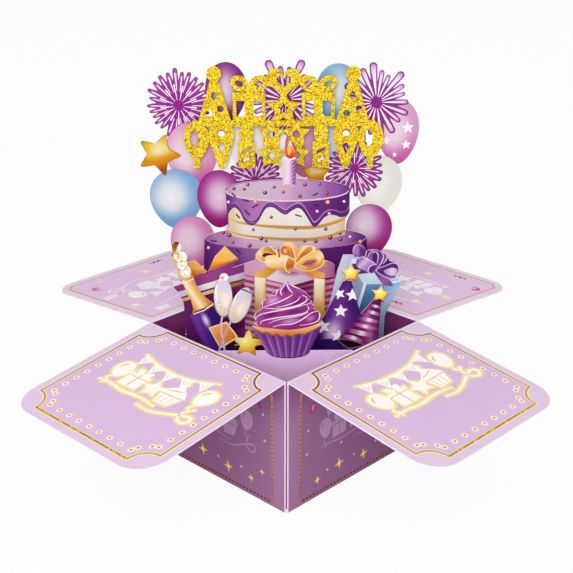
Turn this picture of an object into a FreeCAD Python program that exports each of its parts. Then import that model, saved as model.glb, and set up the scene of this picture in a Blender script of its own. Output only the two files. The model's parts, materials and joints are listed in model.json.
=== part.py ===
import FreeCAD, Part
import math
import os
import Sketcher
from FreeCAD import Placement, Rotation, Vector

# A box shaped pop up card, standing open on a table. Its square walls fold from one strip of
# card, four lined flaps lie out from the top edges, and five die cut scenes stand inside.
# Origin on the table under the middle of the box, +Z up, one corner of the box towards -Y.

# Driving sizes in millimetres and degrees, kept in the spreadsheet
SIZES = [
    ("box_side", 100.0),
    ("wall_height", 73.0),
    ("wall_card", 0.6),
    ("fold_radius", 0.4),
    ("seam_open", 0.4),
    ("seam_leg", 14.0),
    ("seam_end", 2.0),
    ("seam_card", 0.4),
    ("flap_length", 90.0),
    ("flap_card", 0.6),
    ("flap_corner", 15.0),
    ("flap_inset", 0.5),
    ("hinge_gap", 0.5),
    ("front_droop", 8.4),
    ("back_droop", 4.5),
    ("sheet_card", 0.5),
    ("glue_gap", 0.05),
    ("tab_width", 9.0),
    ("wing_foot", 8.0),
    ("wing_drop", 7.0),
    ("balloon_plane", 24.0),
    ("balloon_margin", 9.4),
    ("cake_plane", 8.0),
    ("cake_margin", 17.4),
    ("gift_plane", -6.0),
    ("gift_margin", 11.4),
    ("bottle_plane", -16.0),
    ("bottle_margin", 5.4),
    ("cupcake_plane", -30.0),
    ("cupcake_margin", 5.4),
    ("pad_depth", 2.0),
    ("pad_radius", 1.9),
    ("glitter_card", 0.8),
]

doc = FreeCAD.newDocument("popup_card")
sheet = doc.addObject("Spreadsheet::Sheet", "Sizes")
for row, (alias, value) in enumerate(SIZES, start=1):
    sheet.set(f"A{row}", alias)
    sheet.set(f"B{row}", str(value))
    sheet.setAlias(f"B{row}", alias)
doc.recompute()


def size(alias):
    return float(sheet.get(alias))


# PartDesign helpers

def corner_sketch(body, name, corners):
    # One straight line from each corner to the next. A corner is a pair of expressions, and "0"
    # puts it on the sketch's own axis.
    sketch = body.newObject("Sketcher::SketchObject", name)
    ground = next(item for item in body.Origin.OriginFeatures if item.Role == "XY_Plane")
    sketch.AttachmentSupport = [(ground, "")]
    sketch.MapMode = "FlatFace"
    count = len(corners)
    turns = [2 * math.pi * n / count for n in range(count)]
    start = [Vector(math.cos(turn), math.sin(turn), 0) for turn in turns]
    for n in range(count):
        sketch.addGeometry(Part.LineSegment(start[n], start[(n + 1) % count]))
    for n in range(count):
        sketch.addConstraint(Sketcher.Constraint("Coincident", n, 2, (n + 1) % count, 1))
    for n, corner in enumerate(corners):
        for kind, axis, text, now in (("DistanceX", -2, corner[0], start[n].x),
                                      ("DistanceY", -1, corner[1], start[n].y)):
            if text == "0":
                sketch.addConstraint(Sketcher.Constraint("PointOnObject", n, 1, axis))
            else:
                index = sketch.addConstraint(Sketcher.Constraint(kind, -1, 1, n, 1, now))
                sketch.setExpression(f"Constraints[{index}]", text)
    return sketch


def padded_body(name, corners, length):
    body = doc.addObject("PartDesign::Body", name)
    sketch = corner_sketch(body, name + "_outline", corners)
    pad = body.newObject("PartDesign::Pad", name + "_pad")
    pad.Profile = sketch
    pad.setExpression("Length", length)
    doc.recompute()
    return body


def upright_edges(shape, places):
    # Names of the upright edges that stand at the given places in plan
    names = []
    for n, edge in enumerate(shape.Edges, start=1):
        ends = [v.Point for v in edge.Vertexes]
        upright = len(ends) == 2 and math.hypot(ends[0].x - ends[1].x, ends[0].y - ends[1].y) < 1e-6
        if upright and any(math.hypot(ends[0].x - x, ends[0].y - y) < 1e-3 for x, y in places):
            names.append(f"Edge{n}")
    return names


def rounded_edges(body, name, places, radius):
    before = body.Tip
    fillet = body.newObject("PartDesign::Fillet", name)
    fillet.Base = (before, upright_edges(before.Shape, places))
    fillet.setExpression("Radius", radius)
    doc.recompute()
    return fillet


# The box: one strip folded at three corners, with its two cut ends at the front corner

def box_frame(height):
    return Placement(Vector(0, -size("box_side") / math.sqrt(2), height), Rotation(Vector(0, 0, 1), 45))


side, card, seam = "Sizes.box_side", "Sizes.wall_card", "(Sizes.wall_card + Sizes.seam_open)"
inside = f"{side} - {card}"
walls = padded_body("box_walls", [
    (seam, "0"), (side, "0"), (side, side), ("0", side), ("0", seam),
    (card, seam), (card, inside), (inside, inside), (inside, card), (seam, card),
], "Sizes.wall_height")
outer, inner = size("box_side"), size("box_side") - size("wall_card")
rounded_edges(walls, "outer_folds", [(outer, 0), (outer, outer), (0, outer)],
              "Sizes.fold_radius + Sizes.wall_card")
rounded_edges(walls, "inner_folds",
              [(inner, size("wall_card")), (inner, inner), (size("wall_card"), inner)],
              "Sizes.fold_radius")
walls.Placement = box_frame(0)

# The strip glued behind the seam
lap, lap_in = "(Sizes.wall_card + Sizes.glue_gap)", "(Sizes.wall_card + Sizes.glue_gap + Sizes.seam_card)"
leg = "Sizes.seam_leg"
strip = padded_body("seam_strip", [
    (lap, lap), (leg, lap), (leg, lap_in), (lap_in, lap_in), (lap_in, leg), (lap, leg),
], "Sizes.wall_height - 2 * Sizes.seam_end")
strip.Placement = box_frame(size("seam_end"))


# The flaps: each turns about the outer top edge of its wall

def flap(name, azimuth, droop):
    near, tip = "Sizes.hinge_gap", "Sizes.flap_length"
    low, high = "Sizes.flap_inset", "Sizes.box_side - Sizes.flap_inset"
    body = padded_body(name, [(near, low), (tip, low), (tip, high), (near, high)], "Sizes.flap_card")
    reach, inset = size("flap_length"), size("flap_inset")
    rounded_edges(body, name + "_corners", [(reach, inset), (reach, size("box_side") - inset)],
                  "Sizes.flap_corner")
    turn = Rotation(Vector(0, 0, 1), azimuth) * Rotation(Vector(0, 1, 0), size(droop))
    normal = Rotation(Vector(0, 0, 1), azimuth).multVec(Vector(1, 0, 0))
    hinge = normal * (size("box_side") / 2) + Vector(0, 0, size("wall_height"))
    body.Placement = Placement(
        hinge + turn.multVec(Vector(0, -size("box_side") / 2, -size("flap_card") / 2)), turn)
    return body


nodes = [walls, strip]
for name, azimuth, droop in (
    ("flap_front_left", 225, "front_droop"),
    ("flap_front_right", 315, "front_droop"),
    ("flap_back_left", 135, "back_droop"),
    ("flap_back_right", 45, "back_droop"),
):
    nodes.append(flap(name, azimuth, droop))


# Flat outlines, drawn with x across and y above the top edge of the walls. They are drawn for a
# box side of 100 mm and grow with it.
picture_scale = size("box_side") / 100.0

def shape_of(points):
    # The points may run either way round, but every face looks the same way
    twice = sum(points[n - 1][0] * points[n][1] - points[n][0] * points[n - 1][1]
                for n in range(len(points)))
    corners = [Vector(x, y, 0) for x, y in (points if twice > 0 else points[::-1])]
    return Part.Face(Part.makePolygon(corners + corners[:1]))


def block(left, right, low, high):
    return shape_of([(left, low), (right, low), (right, high), (left, high)])


def oval(x, y, across, up, tilt=0.0):
    longer, shorter = max(across, up), min(across, up)
    ring = Part.Circle(Vector(0, 0, 0), Vector(0, 0, 1), longer)
    if longer - shorter > 1e-6:
        ring = Part.Ellipse(Vector(0, 0, 0), longer, shorter)
    face = Part.Face(Part.Wire(ring.toShape()))
    face.rotate(Vector(0, 0, 0), Vector(0, 0, 1), tilt + (90 if up > across else 0))
    face.translate(Vector(x, y, 0))
    return face


def balloon(x, y, across, up):
    # Round above its widest line and drawn in below it
    top, widest, low = y + up, y + 0.12 * up, y - up
    shoulder, waist = widest + 0.56 * (top - widest), widest - 0.45 * (widest - low)
    edges = []
    for poles in (
        [(across, widest), (across, shoulder), (0.56 * across, top), (0, top)],
        [(0, top), (-0.56 * across, top), (-across, shoulder), (-across, widest)],
        [(-across, widest), (-across, waist), (-0.46 * across, low), (0, low)],
        [(0, low), (0.46 * across, low), (across, waist), (across, widest)],
    ):
        curve = Part.BezierCurve()
        curve.setPoles([Vector(x + aside, height, 0) for aside, height in poles])
        edges.append(curve.toShape())
    return Part.Face(Part.Wire(edges))


def star(x, y, reach, turn=0.0, waist=0.5, soft=0.0):
    points = []
    for n in range(10):
        angle = math.radians(90 + turn + 36 * n)
        radius = (reach if n % 2 == 0 else reach * waist) - soft
        points.append((x + radius * math.cos(angle), y + radius * math.sin(angle)))
    face = shape_of(points)
    if soft:
        face = face.makeOffset2D(soft)
        if face.normalAt(0, 0).z < 0:
            face.reverse()
    return face


def firework(x, y, tip, valley, rays):
    # Round ended rays, (angle, reach) each, standing out of a round heart. The longest ray is the
    # thickest one.
    longest = max(length for degrees, length in rays)

    def at(angle, along, across=0.0):
        return Vector(x + along * math.cos(angle) - across * math.sin(angle),
                      y + along * math.sin(angle) + across * math.cos(angle), 0)

    spots = []
    for n, (degrees, length) in enumerate(rays):
        following, beyond = rays[(n + 1) % len(rays)]
        angle, thick = math.radians(degrees), tip * (length / longest) ** 2
        halfway = angle + math.radians((following - degrees) % 360) / 2
        spots.append((at(angle, length - thick, -thick), at(angle, length), at(angle, length - thick, thick),
                      at(halfway, min(length, beyond) * valley)))
    edges = []
    for n, (low, far, high, notch) in enumerate(spots):
        edges.append(Part.Arc(low, far, high).toShape())
        edges.append(Part.LineSegment(high, notch).toShape())
        edges.append(Part.LineSegment(notch, spots[(n + 1) % len(spots)][0]).toShape())
    return Part.Face(Part.Wire(edges))


def heart(x, y, half, tall):
    lobe = half / 2
    top = y + tall - lobe * 1.1
    return [oval(x - lobe, top, lobe, lobe * 1.1), oval(x + lobe, top, lobe, lobe * 1.1),
            shape_of([(x - half * 0.97, top - lobe * 0.3), (x, y), (x + half * 0.97, top - lobe * 0.3),
                      (x, top + lobe * 0.4)])]


def joined(faces):
    return faces[0].multiFuse(faces[1:]).removeSplitter()


def to_size(faces):
    return [face.copy().scale(picture_scale) for face in faces]


# Standing sheets: a die cut picture above the walls, and below their edge a wing at each side,
# folded back to a tab that is glued inside the wall. The creases lie where the box still folds
# flat with the picture in one plane.

def ribbon(points, thick):
    # Closed outline of a folded strip, from the middle line of its card
    sides = []
    for sign in (1, -1):
        row = []
        for n, here in enumerate(points):
            before = (here - points[n - 1]).normalize() if n > 0 else None
            after = (points[n + 1] - here).normalize() if n < len(points) - 1 else None
            before, after = before or after, after or before
            normal = Vector(-(before.y + after.y), before.x + after.x, 0).normalize()
            half = thick / 2 / (normal.x * -before.y + normal.y * before.x)
            row.append(here + normal * (sign * half))
        sides.append(row)
    loop = sides[0] + sides[1][::-1]
    return Part.Face(Part.makePolygon(loop + loop[:1]))


# From the middle of the box to where the middle lines of two glued tabs would meet
corner = (size("box_side") - 2 * size("wall_card") - 2 * size("glue_gap")
          - size("sheet_card")) / math.sqrt(2)


def fold_points(plane, half, facing):
    # Plan points of one side, from the tab's end to the edge of the picture. facing is 1 where
    # the tabs are glued to the back walls and -1 where they are glued to the front walls.
    depth = corner - facing * plane
    along = depth ** 2 / (math.sqrt(2) * depth - (2 - math.sqrt(2)) * half)
    points = []
    for distance in (along - size("tab_width"), along):
        points.append(Vector(distance / math.sqrt(2), facing * (corner - distance / math.sqrt(2)), 0))
    return points + [Vector(half, plane, 0)]


def standing_sheet(name, picture, facing, figures, band):
    # The band joins the figures and runs from wing to wing, up to the height given
    plane = size(picture + "_plane")
    half = corner - abs(plane) - size(picture + "_margin")
    right = fold_points(plane, half, facing)
    left = [Vector(-p.x, p.y, 0) for p in reversed(right)]
    folded = doc.addObject("Part::Feature", name + "_section")
    folded.Shape = ribbon(right + left, size("sheet_card"))
    folded.setExpression("Placement.Base.z", "Sizes.wing_foot")
    wings = doc.addObject("Part::Extrusion", name + "_wings")
    wings.Base, wings.DirMode, wings.Dir, wings.Solid = folded, "Custom", Vector(0, 0, 1), True
    wings.setExpression("LengthFwd", "Sizes.wall_height - Sizes.wing_drop - Sizes.wing_foot")
    outline = joined(to_size(figures) + [block(-half, half, root, band * picture_scale)])
    panel = upright_panel(name + "_picture", outline,
                          f"Sizes.{picture}_plane + Sizes.sheet_card / 2", "Sizes.sheet_card")
    whole = doc.addObject("Part::MultiFuse", name)
    whole.Shapes = [wings, panel]
    whole.Refine = True
    nodes.append(whole)


def upright_panel(name, face, back, thick):
    # Stands a flat outline upright, with its back at y = back, and gives it its thickness
    flat = doc.addObject("Part::Feature", name + "_outline")
    flat.Shape = face
    flat.Placement = Placement(Vector(0, 0, 0), Rotation(Vector(1, 0, 0), 90))
    flat.setExpression("Placement.Base.y", back)
    flat.setExpression("Placement.Base.z", "Sizes.wall_height")
    panel = doc.addObject("Part::Extrusion", name)
    panel.Base, panel.DirMode, panel.Dir, panel.Solid = flat, "Custom", Vector(0, -1, 0), True
    panel.setExpression("LengthFwd", thick)
    return panel


# Every picture reaches down past the top edge of its wings
root = -size("wing_drop") - 3.0

# Balloons, fireworks and a star
left_rays = [(0, 16.5), (14, 17.0), (28, 17.0), (42, 17.5), (56, 17.5), (70, 18.2), (82, 17.4), (94, 19.3),
             (107, 17.7), (121, 18.0), (135, 17.3), (151, 17.4), (164, 15.2), (180, 16.0), (192, 15.2),
             (204, 14.6), (217, 15.4), (231, 15.0), (249, 16.9), (262, 16.7), (276, 16.0), (290, 16.0),
             (304, 16.0), (318, 16.0), (332, 16.0), (346, 16.0)]
middle_rays = [(4, 18.0), (20, 17.0), (36, 19.0), (51, 16.5), (66, 22.0), (82, 17.0), (98, 17.4), (114, 22.0),
               (130, 16.5), (148, 19.0), (166, 17.0), (184, 19.0), (202, 17.0), (220, 20.0), (238, 17.0),
               (256, 20.0), (274, 18.0), (292, 20.0), (310, 17.0), (328, 19.0), (346, 17.0)]
right_rays = [(1, 16.1), (18, 15.0), (33, 16.3), (50, 20.0), (67, 15.2), (82, 16.6), (97, 20.5), (115, 19.1),
              (133, 16.0), (151, 18.5), (169, 16.0), (187, 18.0), (205, 16.0), (223, 18.0), (243, 15.0),
              (260, 17.0), (279, 17.5), (300, 18.1), (321, 15.5), (340, 17.0)]
low_rays = [(7, 14.3), (24, 15.1), (39, 15.3), (52, 15.7), (67, 15.0), (82, 14.5), (97, 14.5), (112, 14.5),
            (127, 14.0), (142, 14.0), (157, 14.0), (172, 13.8), (187, 13.5), (201, 15.6), (214, 14.5),
            (228, 14.0), (243, 14.0), (259, 14.0), (274, 15.4), (290, 16.2), (304, 14.6), (318, 15.6),
            (336, 15.5), (351, 15.0)]
balloon_figures = [
    balloon(-29.1, 116.4, 10.6, 15.6),
    balloon(27.5, 115.6, 11.2, 15.6),
    balloon(31.6, 90.8, 10.8, 14.5),
    balloon(58.7, 95.9, 10.8, 17.0),
    balloon(49.4, 67.7, 12.6, 16.0),
    balloon(45.4, 42.2, 12.3, 15.1),
    balloon(-47.3, 84.2, 13.4, 17.4),
    balloon(-56.2, 60.5, 13.9, 16.3),
    balloon(-33.9, 60.4, 11.5, 15.8),
    balloon(-48.4, 36.0, 11.8, 15.1),
    balloon(11.0, 86.7, 10.4, 14.6),
    balloon(-17.3, 89.4, 11.3, 15.7),
    firework(-53.3, 109.9, 1.2, 0.74, left_rays),
    firework(0.7, 112.7, 2.1, 0.60, middle_rays),
    firework(47.3, 111.3, 2.0, 0.62, right_rays),
    firework(36.7, 76.8, 1.0, 0.74, low_rays),
    star(-64.5, 84.5, 11.2, turn=-21.0, waist=0.53, soft=1.0),
    block(-42.0, 30.0, 50.0, 104.0),
    block(-31.0, 30.0, root, 104.0),
]
standing_sheet("balloon_sheet", "balloon", 1, balloon_figures, band=30.0)

# Cake of two tiers with a candle
cake_figures = [
    shape_of([(-43.6, 0.0), (44.0, 0.0), (43.0, 44.0), (-41.2, 44.0)]),
    oval(0.9, 43.8, 42.1, 7.2),
    shape_of([(-28.4, 44.0), (31.4, 44.0), (31.6, 55.0), (33.6, 58.0), (33.5, 70.5), (-29.9, 70.5)]),
    oval(1.8, 70.5, 31.7, 5.4),
    block(-0.4, 6.0, 70.0, 87.2),
    oval(3.2, 90.6, 2.7, 4.6),
]
standing_sheet("cake_sheet", "cake", 1, cake_figures, band=2.0)

# Three wrapped gifts with bows
gift_figures = [
    shape_of([(-50.8, root), (-10.0, root), (-13.6, 37.9), (-57.2, 23.1), (-54.3, 19.4), (-52.2, 14.0)]),
    shape_of([(-40.0, 26.0), (-39.5, 31.2), (-45.6, 37.4), (-49.6, 36.6), (-50.6, 24.0)]),
    shape_of([(-40.0, 26.0), (-39.0, 31.5), (-35.5, 39.4), (-30.3, 45.1), (-23.6, 38.1), (-30.0, 28.0)]),
    block(-20.5, 25.6, root, 34.0),
    oval(2.6, 33.9, 23.1, 5.2),
    oval(-9.0, 39.6, 6.3, 5.0, tilt=28.0),
    oval(2.2, 41.6, 4.8, 5.2),
    oval(13.2, 39.6, 7.2, 5.2, tilt=-24.0),
    shape_of([(22.0, root), (51.9, root), (52.2, 6.0), (60.1, 24.4), (57.8, 27.7), (34.5, 40.1),
              (29.8, 40.1), (24.0, 22.0)]),
    oval(38.2, 41.2, 3.4, 4.6, tilt=20.0),
    oval(46.6, 37.0, 7.4, 5.4, tilt=-24.0),
    oval(53.4, 32.0, 5.0, 4.6),
]
standing_sheet("gift_sheet", "gift", 1, gift_figures, band=-4.0)

# Bottle with foam, two glasses, a card and two party hats
bottle_figures = [
    shape_of([(-53.0, 31.0), (-46.4, 33.2), (-44.7, 27.9), (-42.4, 23.5), (-39.8, 20.5), (-36.2, 17.6),
              (-32.2, 8.9), (-29.5, root), (-41.5, root), (-48.1, 9.9), (-46.6, 14.2), (-47.6, 19.9),
              (-49.5, 23.5), (-51.0, 27.9)]),
    oval(-50.5, 35.0, 3.4, 3.9),
    oval(-52.0, 39.6, 3.1, 3.6),
    oval(-54.1, 43.3, 2.5, 3.0),
    oval(-51.2, 43.2, 2.4, 2.8),
    oval(-53.9, 48.2, 2.3, 3.2),
    oval(-31.3, 21.6, 4.7, 10.4),
    oval(-30.6, 32.2, 2.2, 2.0),
    oval(-22.5, 16.5, 4.8, 10.4, tilt=-22.0),
    shape_of([(-33.4, 13.0), (-28.6, 13.0), (-25.0, 9.0), (-29.6, root), (-34.4, root)]),
    shape_of([(-38.9, 4.3), (-29.5, 8.0), (-24.1, -1.0), (-28.0, root), (-38.0, root)]),
    shape_of([(29.4, 29.6), (33.6, 30.0), (40.6, 5.0), (40.0, root), (12.0, root), (13.0, -3.5)]),
    star(33.4, 33.6, 5.0, soft=0.6),
    shape_of([(46.4, 21.0), (49.2, 21.0), (48.2, -2.0), (46.0, root), (34.0, root), (27.5, -2.3)]),
    star(48.2, 22.2, 4.8, turn=-8.0, soft=0.6),
]
standing_sheet("bottle_hat_sheet", "bottle", -1, bottle_figures, band=-5.6)

# Cupcake with a star beside it, on a low band
cupcake_figures = [
    shape_of([(-8.4, -5.0), (11.3, -5.0), (18.3, 11.0), (-16.4, 11.0)]),
    oval(1.3, 11.6, 17.6, 3.9),
    oval(1.2, 16.6, 16.6, 6.2),
    oval(1.0, 22.2, 13.2, 6.0),
    oval(0.8, 27.0, 8.0, 4.8),
    shape_of([(-6.0, 27.0), (-4.2, 30.0), (-1.4, 33.6), (1.0, 35.6), (2.8, 33.6), (6.0, 32.0),
              (9.8, 29.8), (12.4, 26.6)]),
    star(-18.9, 1.4, 7.4, turn=-6.0, soft=0.8),
]
standing_sheet("cupcake_sheet", "cupcake", -1, cupcake_figures, band=-2.3)


# The glitter topper: two rows of cut party figures, joined by one bar

def topper_hat(x, low):
    return ([shape_of([(x - 8.6, low), (x + 8.6, low), (x + 1.6, low + 23.0), (x - 1.6, low + 23.0)]),
             oval(x, low + 25.0, 3.7, 3.7)],
            [oval(x - 3.0, low + 5.0, 1.7, 1.7), oval(x + 3.0, low + 7.4, 1.7, 1.7),
             oval(x - 0.2, low + 14.0, 1.5, 2.1)])


def topper_gift(x, low):
    windows = [block(x + s * 4.4 - 2.1, x + s * 4.4 + 2.1, low + 3.4, low + 11.4) for s in (-1, 1)]
    loops = [oval(x + s * 4.7, low + 20.0, 4.9, 3.9, tilt=s * 28.0) for s in (-1, 1)]
    eyes = [oval(x + s * 5.0, low + 20.1, 2.2, 1.5, tilt=s * 28.0) for s in (-1, 1)]
    return ([block(x - 8.3, x + 8.3, low, low + 15.6), oval(x, low + 17.6, 2.6, 2.6)] + loops,
            windows + eyes)


def topper_middle(x, low):
    return (heart(x, low + 13.2, 8.7, 14.4) + [star(x, low + 7.4, 9.0, waist=0.52)],
            heart(x, low + 18.0, 3.6, 6.2) + [star(x, low + 7.2, 3.3)])


def topper_balloon(x, high):
    return ([balloon(x, high - 10.0, 6.5, 9.8), block(x - 1.6, x + 1.6, high - 24.6, high - 18.0)],
            [oval(x - 1.2, high - 9.0, 2.2, 4.4)])


def topper_cone(x, high):
    return ([oval(x, high - 6.6, 6.5, 6.4),
             shape_of([(x - 6.4, high - 9.4), (x + 6.4, high - 9.4), (x + 1.3, high - 24.8),
                       (x - 1.3, high - 24.8)])],
            [oval(x, high - 6.2, 2.2, 1.9),
             shape_of([(x - 2.2, high - 12.8), (x, high - 17.4), (x + 2.2, high - 12.8),
                       (x, high - 11.2)])])


def topper_candle(x, high):
    slots = [shape_of([(x - 2.3, high - low), (x + 2.3, high - low + 2.2), (x + 2.3, high - low + 4.0),
                       (x - 2.3, high - low + 1.8)]) for low in (22.0, 17.4)]
    return ([block(x - 4.3, x + 4.3, high - 24.6, high - 10.6), oval(x, high - 6.0, 3.6, 6.2)], slots)


def topper_stars(x, high):
    return ([star(x, high - 6.8, 7.3, waist=0.54), star(x, high - 17.8, 7.5, waist=0.54),
             oval(x, high - 12.6, 3.2, 3.6)],
            [oval(x, high - 6.8, 2.0, 2.0), oval(x, high - 17.9, 2.1, 2.1)])


def topper_row(figures, step, height):
    shapes, counters = [], []
    for n, figure in enumerate(figures):
        solid, cut = figure((n - (len(figures) - 1) / 2) * step, height)
        shapes += solid
        counters += cut
    return shapes, counters


upper, upper_counters = topper_row(
    [topper_hat, topper_gift, topper_middle, topper_gift, topper_hat], 17.5, 101.6)
lower, lower_counters = topper_row(
    [topper_balloon, topper_cone, topper_candle, topper_stars,
     topper_stars, topper_candle, topper_cone, topper_balloon], 12.75, 102.6)
topper_bar = block(-46.5, 46.5, 99.9, 102.9)
topper_face = joined(to_size([topper_bar] + upper + lower)).cut(
    to_size(upper_counters + lower_counters))
pads_back = "Sizes.balloon_plane - Sizes.sheet_card / 2 - Sizes.glue_gap"
topper = upright_panel("glitter_topper", topper_face,
                       f"{pads_back} - Sizes.pad_depth - Sizes.glue_gap", "Sizes.glitter_card")
nodes.append(topper)

# Foam pads that hold the topper off the balloon sheet
pads = []
for n, (x, y) in enumerate([
    (-35.0, 103.6), (-17.5, 103.4), (17.5, 103.4), (35.0, 103.6), (0.0, 116.6), (-31.9, 95.6),
    (31.9, 95.6), (-19.1, 82.0), (19.1, 82.0), (-44.6, 86.0), (44.6, 86.0),
], start=1):
    pad = doc.addObject("Part::Cylinder", f"pad_{n}")
    pad.setExpression("Radius", "Sizes.pad_radius")
    pad.setExpression("Height", "Sizes.pad_depth")
    pad.Placement = Placement(Vector(x * picture_scale, 0, 0), Rotation(Vector(1, 0, 0), 90))
    pad.setExpression("Placement.Base.y", pads_back)
    pad.setExpression("Placement.Base.z", f"Sizes.wall_height + {y * picture_scale}")
    pads.append(pad)
topper_pads = doc.addObject("Part::Compound", "topper_pads")
topper_pads.Links = pads
nodes.append(topper_pads)

# Recompute, test every object and write one file for each piece
doc.recompute()
for item in doc.Objects:
    if "Invalid" in item.State or "Error" in item.State:
        raise RuntimeError(f"{item.Name} failed: {item.State}")
os.makedirs("parts", exist_ok=True)
for node in nodes:
    shape = node.Shape
    if shape.isNull() or not shape.isValid():
        raise RuntimeError(f"{node.Name} has no valid shape")
    if node is not topper_pads and len(shape.Solids) != 1:
        raise RuntimeError(f"{node.Name} is {len(shape.Solids)} solids")
    shape.exportStep(f"parts/{node.Name}.step")
    box = shape.BoundBox
    print(f"{node.Name}: {len(shape.Solids)} solid, {shape.Volume:.0f} mm3, x {box.XMin:.1f} {box.XMax:.1f}, "
          f"y {box.YMin:.1f} {box.YMax:.1f}, z {box.ZMin:.1f} {box.ZMax:.1f}")
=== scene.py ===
import json
import math
import random

import bpy
from mathutils import Matrix, Vector
from mathutils.geometry import delaunay_2d_cdt
import numpy as np

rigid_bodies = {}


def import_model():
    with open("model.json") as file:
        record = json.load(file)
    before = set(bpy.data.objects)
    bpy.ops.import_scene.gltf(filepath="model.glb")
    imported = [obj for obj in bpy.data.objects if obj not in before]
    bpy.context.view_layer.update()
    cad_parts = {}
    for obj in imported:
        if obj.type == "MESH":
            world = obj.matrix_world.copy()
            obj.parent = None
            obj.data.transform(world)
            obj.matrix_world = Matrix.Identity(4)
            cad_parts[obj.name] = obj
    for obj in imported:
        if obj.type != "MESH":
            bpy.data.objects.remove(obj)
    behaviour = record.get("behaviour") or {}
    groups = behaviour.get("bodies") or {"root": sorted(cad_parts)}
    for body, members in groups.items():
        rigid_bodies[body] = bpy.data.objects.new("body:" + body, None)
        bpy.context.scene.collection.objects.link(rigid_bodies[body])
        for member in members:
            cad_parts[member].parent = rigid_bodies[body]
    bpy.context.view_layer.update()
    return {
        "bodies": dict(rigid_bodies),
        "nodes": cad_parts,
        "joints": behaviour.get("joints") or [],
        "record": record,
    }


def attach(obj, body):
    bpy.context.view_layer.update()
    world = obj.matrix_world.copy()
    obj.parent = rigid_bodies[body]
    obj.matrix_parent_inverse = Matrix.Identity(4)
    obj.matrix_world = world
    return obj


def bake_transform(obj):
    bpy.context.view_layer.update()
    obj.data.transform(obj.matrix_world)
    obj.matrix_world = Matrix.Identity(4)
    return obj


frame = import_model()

nodes = frame["nodes"]
mm = 0.001

# Places of the card's faces, in millimetres
card = {"rim": 73.0, "side": 100.0, "flapReach": 90.0, "flapHalf": 49.5, "flapCard": 0.3,
        "sheetFace": 0.25, "ink": 0.05, "cutEdge": (246, 240, 244),
        "planes": {"balloon_sheet": 24.0, "cake_sheet": 8.0, "gift_sheet": -6.0,
                   "bottle_hat_sheet": -16.0, "cupcake_sheet": -30.0},
        "flaps": {"flap_front_left": (225, 8.4), "flap_front_right": (315, 8.4),
                  "flap_back_left": (135, 4.5), "flap_back_right": (45, 4.5)}}  # azimuth and droop, degrees


# Colours are red, green and blue from 0 to 255

def mixed(a, b, t):
    t = min(max(t, 0.0), 1.0)
    return tuple(p + (q - p) * t for p, q in zip(a, b))


def smooth(low, high, value):
    t = min(max((value - low) / (high - low), 0.0), 1.0)
    return t * t * (3 - 2 * t)


def blended(stops, t):
    # stops are (place, colour) in rising order
    for (t0, c0), (t1, c1) in zip(stops, stops[1:]):
        if t <= t1:
            return mixed(c0, c1, smooth(t0, t1, t))
    return stops[-1][1]


def glowing(base, *spots):
    # A colour run with soft spots on it: (x, y, half width, half height, turn, colour) each
    def paint(px, py):
        tone = base(px, py) if callable(base) else base
        for x, y, rx, ry, turn, colour in spots:
            c, s = math.cos(math.radians(turn)), math.sin(math.radians(turn))
            u, v = (px - x) * c + (py - y) * s, (py - y) * c - (px - x) * s
            tone = mixed(tone, colour, smooth(1.0, 0.1, math.hypot(u / rx, v / ry)))
        return tone
    return paint


def linearInk(colour):
    return [c / 12.92 if c <= 0.04045 else ((c + 0.055) / 1.055) ** 2.4
            for c in (min(max(v / 255, 0.0), 1.0) for v in colour)]


def runOf(first, *rest):
    # The first colour stands at 0 and the last at 1, with (place, colour) pairs between them
    return [(0.0, first), *rest[:-1], (1.0, rest[-1])]


def across(x0, y0, x1, y1, *colours):
    # A colour run from one point to another
    dx, dy, stops = x1 - x0, y1 - y0, runOf(*colours)
    return lambda x, y: blended(stops, ((x - x0) * dx + (y - y0) * dy) / (dx * dx + dy * dy))


def around(cx, cy, rx, ry, *colours):
    # A colour run from the heart of an oval to its rim
    stops = runOf(*colours)
    return lambda x, y: blended(stops, math.hypot((x - cx) / rx, (y - cy) / ry))


# Outlines are lists of points, in millimetres across and above the walls' top edge

def ring(x, y, rx, ry=None, turn=0.0, count=28):
    ry = rx if ry is None else ry
    c, s = math.cos(math.radians(turn)), math.sin(math.radians(turn))
    points = []
    for n in range(count):
        a = 2 * math.pi * n / count
        px, py = rx * math.cos(a), ry * math.sin(a)
        points.append((x + px * c - py * s, y + px * s + py * c))
    return points


def bezier(p0, p1, p2, p3, count):
    points = []
    for n in range(count):
        t = n / count
        u = 1 - t
        points.append(tuple(u ** 3 * a + 3 * u * u * t * b + 3 * u * t * t * c + t ** 3 * d
                            for a, b, c, d in zip(p0, p1, p2, p3)))
    return points


def egg(x, y, a, b, count=11):
    top, wide, low = y + b, y + 0.12 * b, y - b
    shoulder, waist = wide + 0.56 * (top - wide), wide - 0.45 * (wide - low)
    return (bezier((x + a, wide), (x + a, shoulder), (x + 0.56 * a, top), (x, top), count)
            + bezier((x, top), (x - 0.56 * a, top), (x - a, shoulder), (x - a, wide), count)
            + bezier((x - a, wide), (x - a, waist), (x - 0.46 * a, low), (x, low), count)
            + bezier((x, low), (x + 0.46 * a, low), (x + a, waist), (x + a, wide), count))


def starLoop(x, y, reach, waist=0.5, turn=0.0, tips=5):
    points = []
    for n in range(2 * tips):
        a = math.radians(90 + turn + 180 * n / tips)
        r = reach if n % 2 == 0 else reach * waist
        points.append((x + r * math.cos(a), y + r * math.sin(a)))
    return points


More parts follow.
